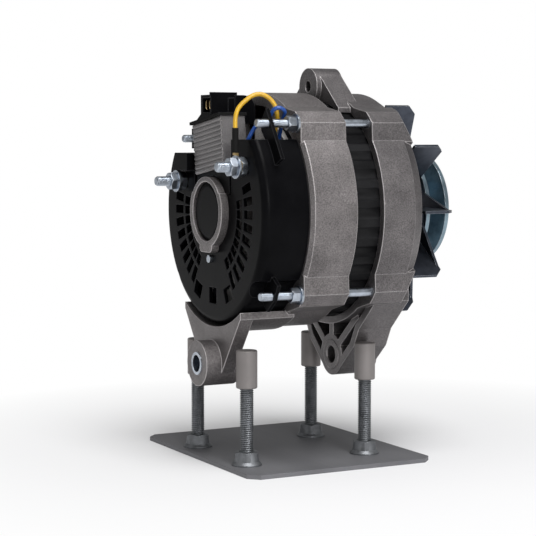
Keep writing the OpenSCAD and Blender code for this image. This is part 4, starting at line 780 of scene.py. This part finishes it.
def brush_spring(side):
    """A wound spring between a brush and the roof of its pocket."""
    node = side + "_brush_spring"
    low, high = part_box(node)
    wire = 0.0003
    coil = 0.0016
    turns = 5
    steps = 16
    middle = (low[0] + high[0]) / 2
    length = high[2] - low[2]
    start = low[2] + wire
    rise = length - 2 * wire
    points = []
    for step in range(turns * steps + 1):
        turn = 2 * math.pi * step / steps
        z = start + rise * step / (turns * steps)
        points.append(Vector((middle + coil * math.cos(turn), coil * math.sin(turn), z)))
    mesh = bmesh.new()
    add_wire(mesh, points, wire, 6)
    piece = mesh_piece(node + "_piece", mesh, spring_steel)
    shade_smooth(piece)
    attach(piece, "frame")
    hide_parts(node)
    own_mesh(piece)


brush_spring("positive")
brush_spring("negative")


# Regulator
# An extruded aluminium heat sink with round-bottomed grooves across its rear face, sawn to length and
# seated on the brush holder with a thin rubber gasket under the connector.
regulator_aluminium = cast_aluminium(
    "extruded_aluminium", (0.17, 0.163, 0.165), (0.23, 0.22, 0.222), radius=0.0003, sand=0.12
)
gasket_rubber = moulded_nylon(
    "gasket_rubber", (0.008, 0.008, 0.008), (0.013, 0.013, 0.013), radius=0.0003, rough=0.6
)
dress("regulator_body", regulator_aluminium)
dress("regulator_gasket", gasket_rubber)


# Fan and pulley
# A pressed steel fan and a pulley of two pressed halves, zinc plated. A spacer sets them off the front
# bearing, a key drives them, and a washer and a nut clamp them on the shaft.
dress("fan_spacer", ground_steel)
dress("pulley_key", ground_steel)
dress("cooling_fan", zinc_plate("dark_fan_zinc", (0.085, 0.095, 0.12), rough=0.3, rim=0.75))
pulley_zinc = zinc_plate("blue_pulley_zinc", (0.27, 0.36, 0.42), rough=0.24)
for node in ("pulley_rear_half", "pulley_front_half"):
    dress(node, pulley_zinc)
for node in ("pulley_washer", "pulley_nut"):
    dress(node, zinc)


# Through-studs
# Four long zinc-plated steel studs, with rolled threads and plain shanks. They clamp both brackets on the
# stack with a nut and a washer each, and two of them carry on through the ears of the cover.
dress("stud_nuts", zinc)
dress("stud_washers", zinc)


def plain_bar(mesh, start, end, radius):
    """A plain round bar between two places along the shaft, for a shank below its thread."""
    length = (end - start).length
    add_turned(mesh, [(0, 0), (radius, 0), (radius, length), (0, length)], start, steps=40)


def threaded_piece(name, node, lines):
    """Rods that stand for a node's studs: each line is (tip, thread end, shank end, radius, pitch)."""
    mesh = bmesh.new()
    for tip, thread_end, shank_end, radius, pitch in lines:
        depth = 0.55 * pitch
        add_thread(mesh, tip, thread_end, radius, pitch, depth)
        if shank_end is not None:
            plain_bar(mesh, thread_end, shank_end, radius)
    piece = mesh_piece(name, mesh, zinc)
    shade_smooth(piece)
    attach(piece, "frame")
    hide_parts(node)


STUD_CIRCLE = 0.072
STUD_RADIUS = 0.0025
STUD_PITCH = 0.0008
STUD_THREAD_X = -0.048
LONG_TIP_X = -0.0781
SHORT_TIP_X = -0.0625
studs_front_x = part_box("through_studs")[1][0]
through_lines = []
for turn, tip_x in ((44.5, LONG_TIP_X), (130, LONG_TIP_X), (-130, SHORT_TIP_X), (-44.5, SHORT_TIP_X)):
    y = -STUD_CIRCLE * math.sin(math.radians(turn))
    z = SHAFT_Z + STUD_CIRCLE * math.cos(math.radians(turn))
    tip, thread_end, front = (Vector((x, y, z)) for x in (tip_x, STUD_THREAD_X, studs_front_x))
    through_lines.append((tip, thread_end, front, STUD_RADIUS, STUD_PITCH))
threaded_piece("through_studs_piece", "through_studs", through_lines)


# Terminals
# The battery, ground and phase studs: threaded zinc-plated steel in nylon bushes and a nylon block. Nuts
# and washers hold the battery lead's ring terminal, which has a shrunk black sleeve.
for node in ("terminal_bushes", "phase_block"):
    dress(node, black_nylon)
for node in ("terminal_nuts", "terminal_washers"):
    dress(node, zinc)
dress("ring_terminal", brass)
shrink_sleeve = moulded_nylon(
    "shrink_sleeve", (0.008, 0.008, 0.008), (0.014, 0.014, 0.014), radius=0.0002, rough=0.6
)
dress("lead_sleeve", shrink_sleeve)
for node, y, up, radius, pitch in (("battery_stud", -0.0417, 0.0268, 0.003, 0.001),
                                   ("ground_stud", 0.0394, 0.017, 0.003, 0.001),
                                   ("phase_stud", 0.03, 0.0427, 0.0023, 0.0008)):
    low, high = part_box(node)
    tip = Vector((low[0], y, SHAFT_Z + up))
    foot = Vector((high[0], y, SHAFT_Z + up))
    threaded_piece(node + "_piece", node, [(tip, foot, None, radius, pitch)])
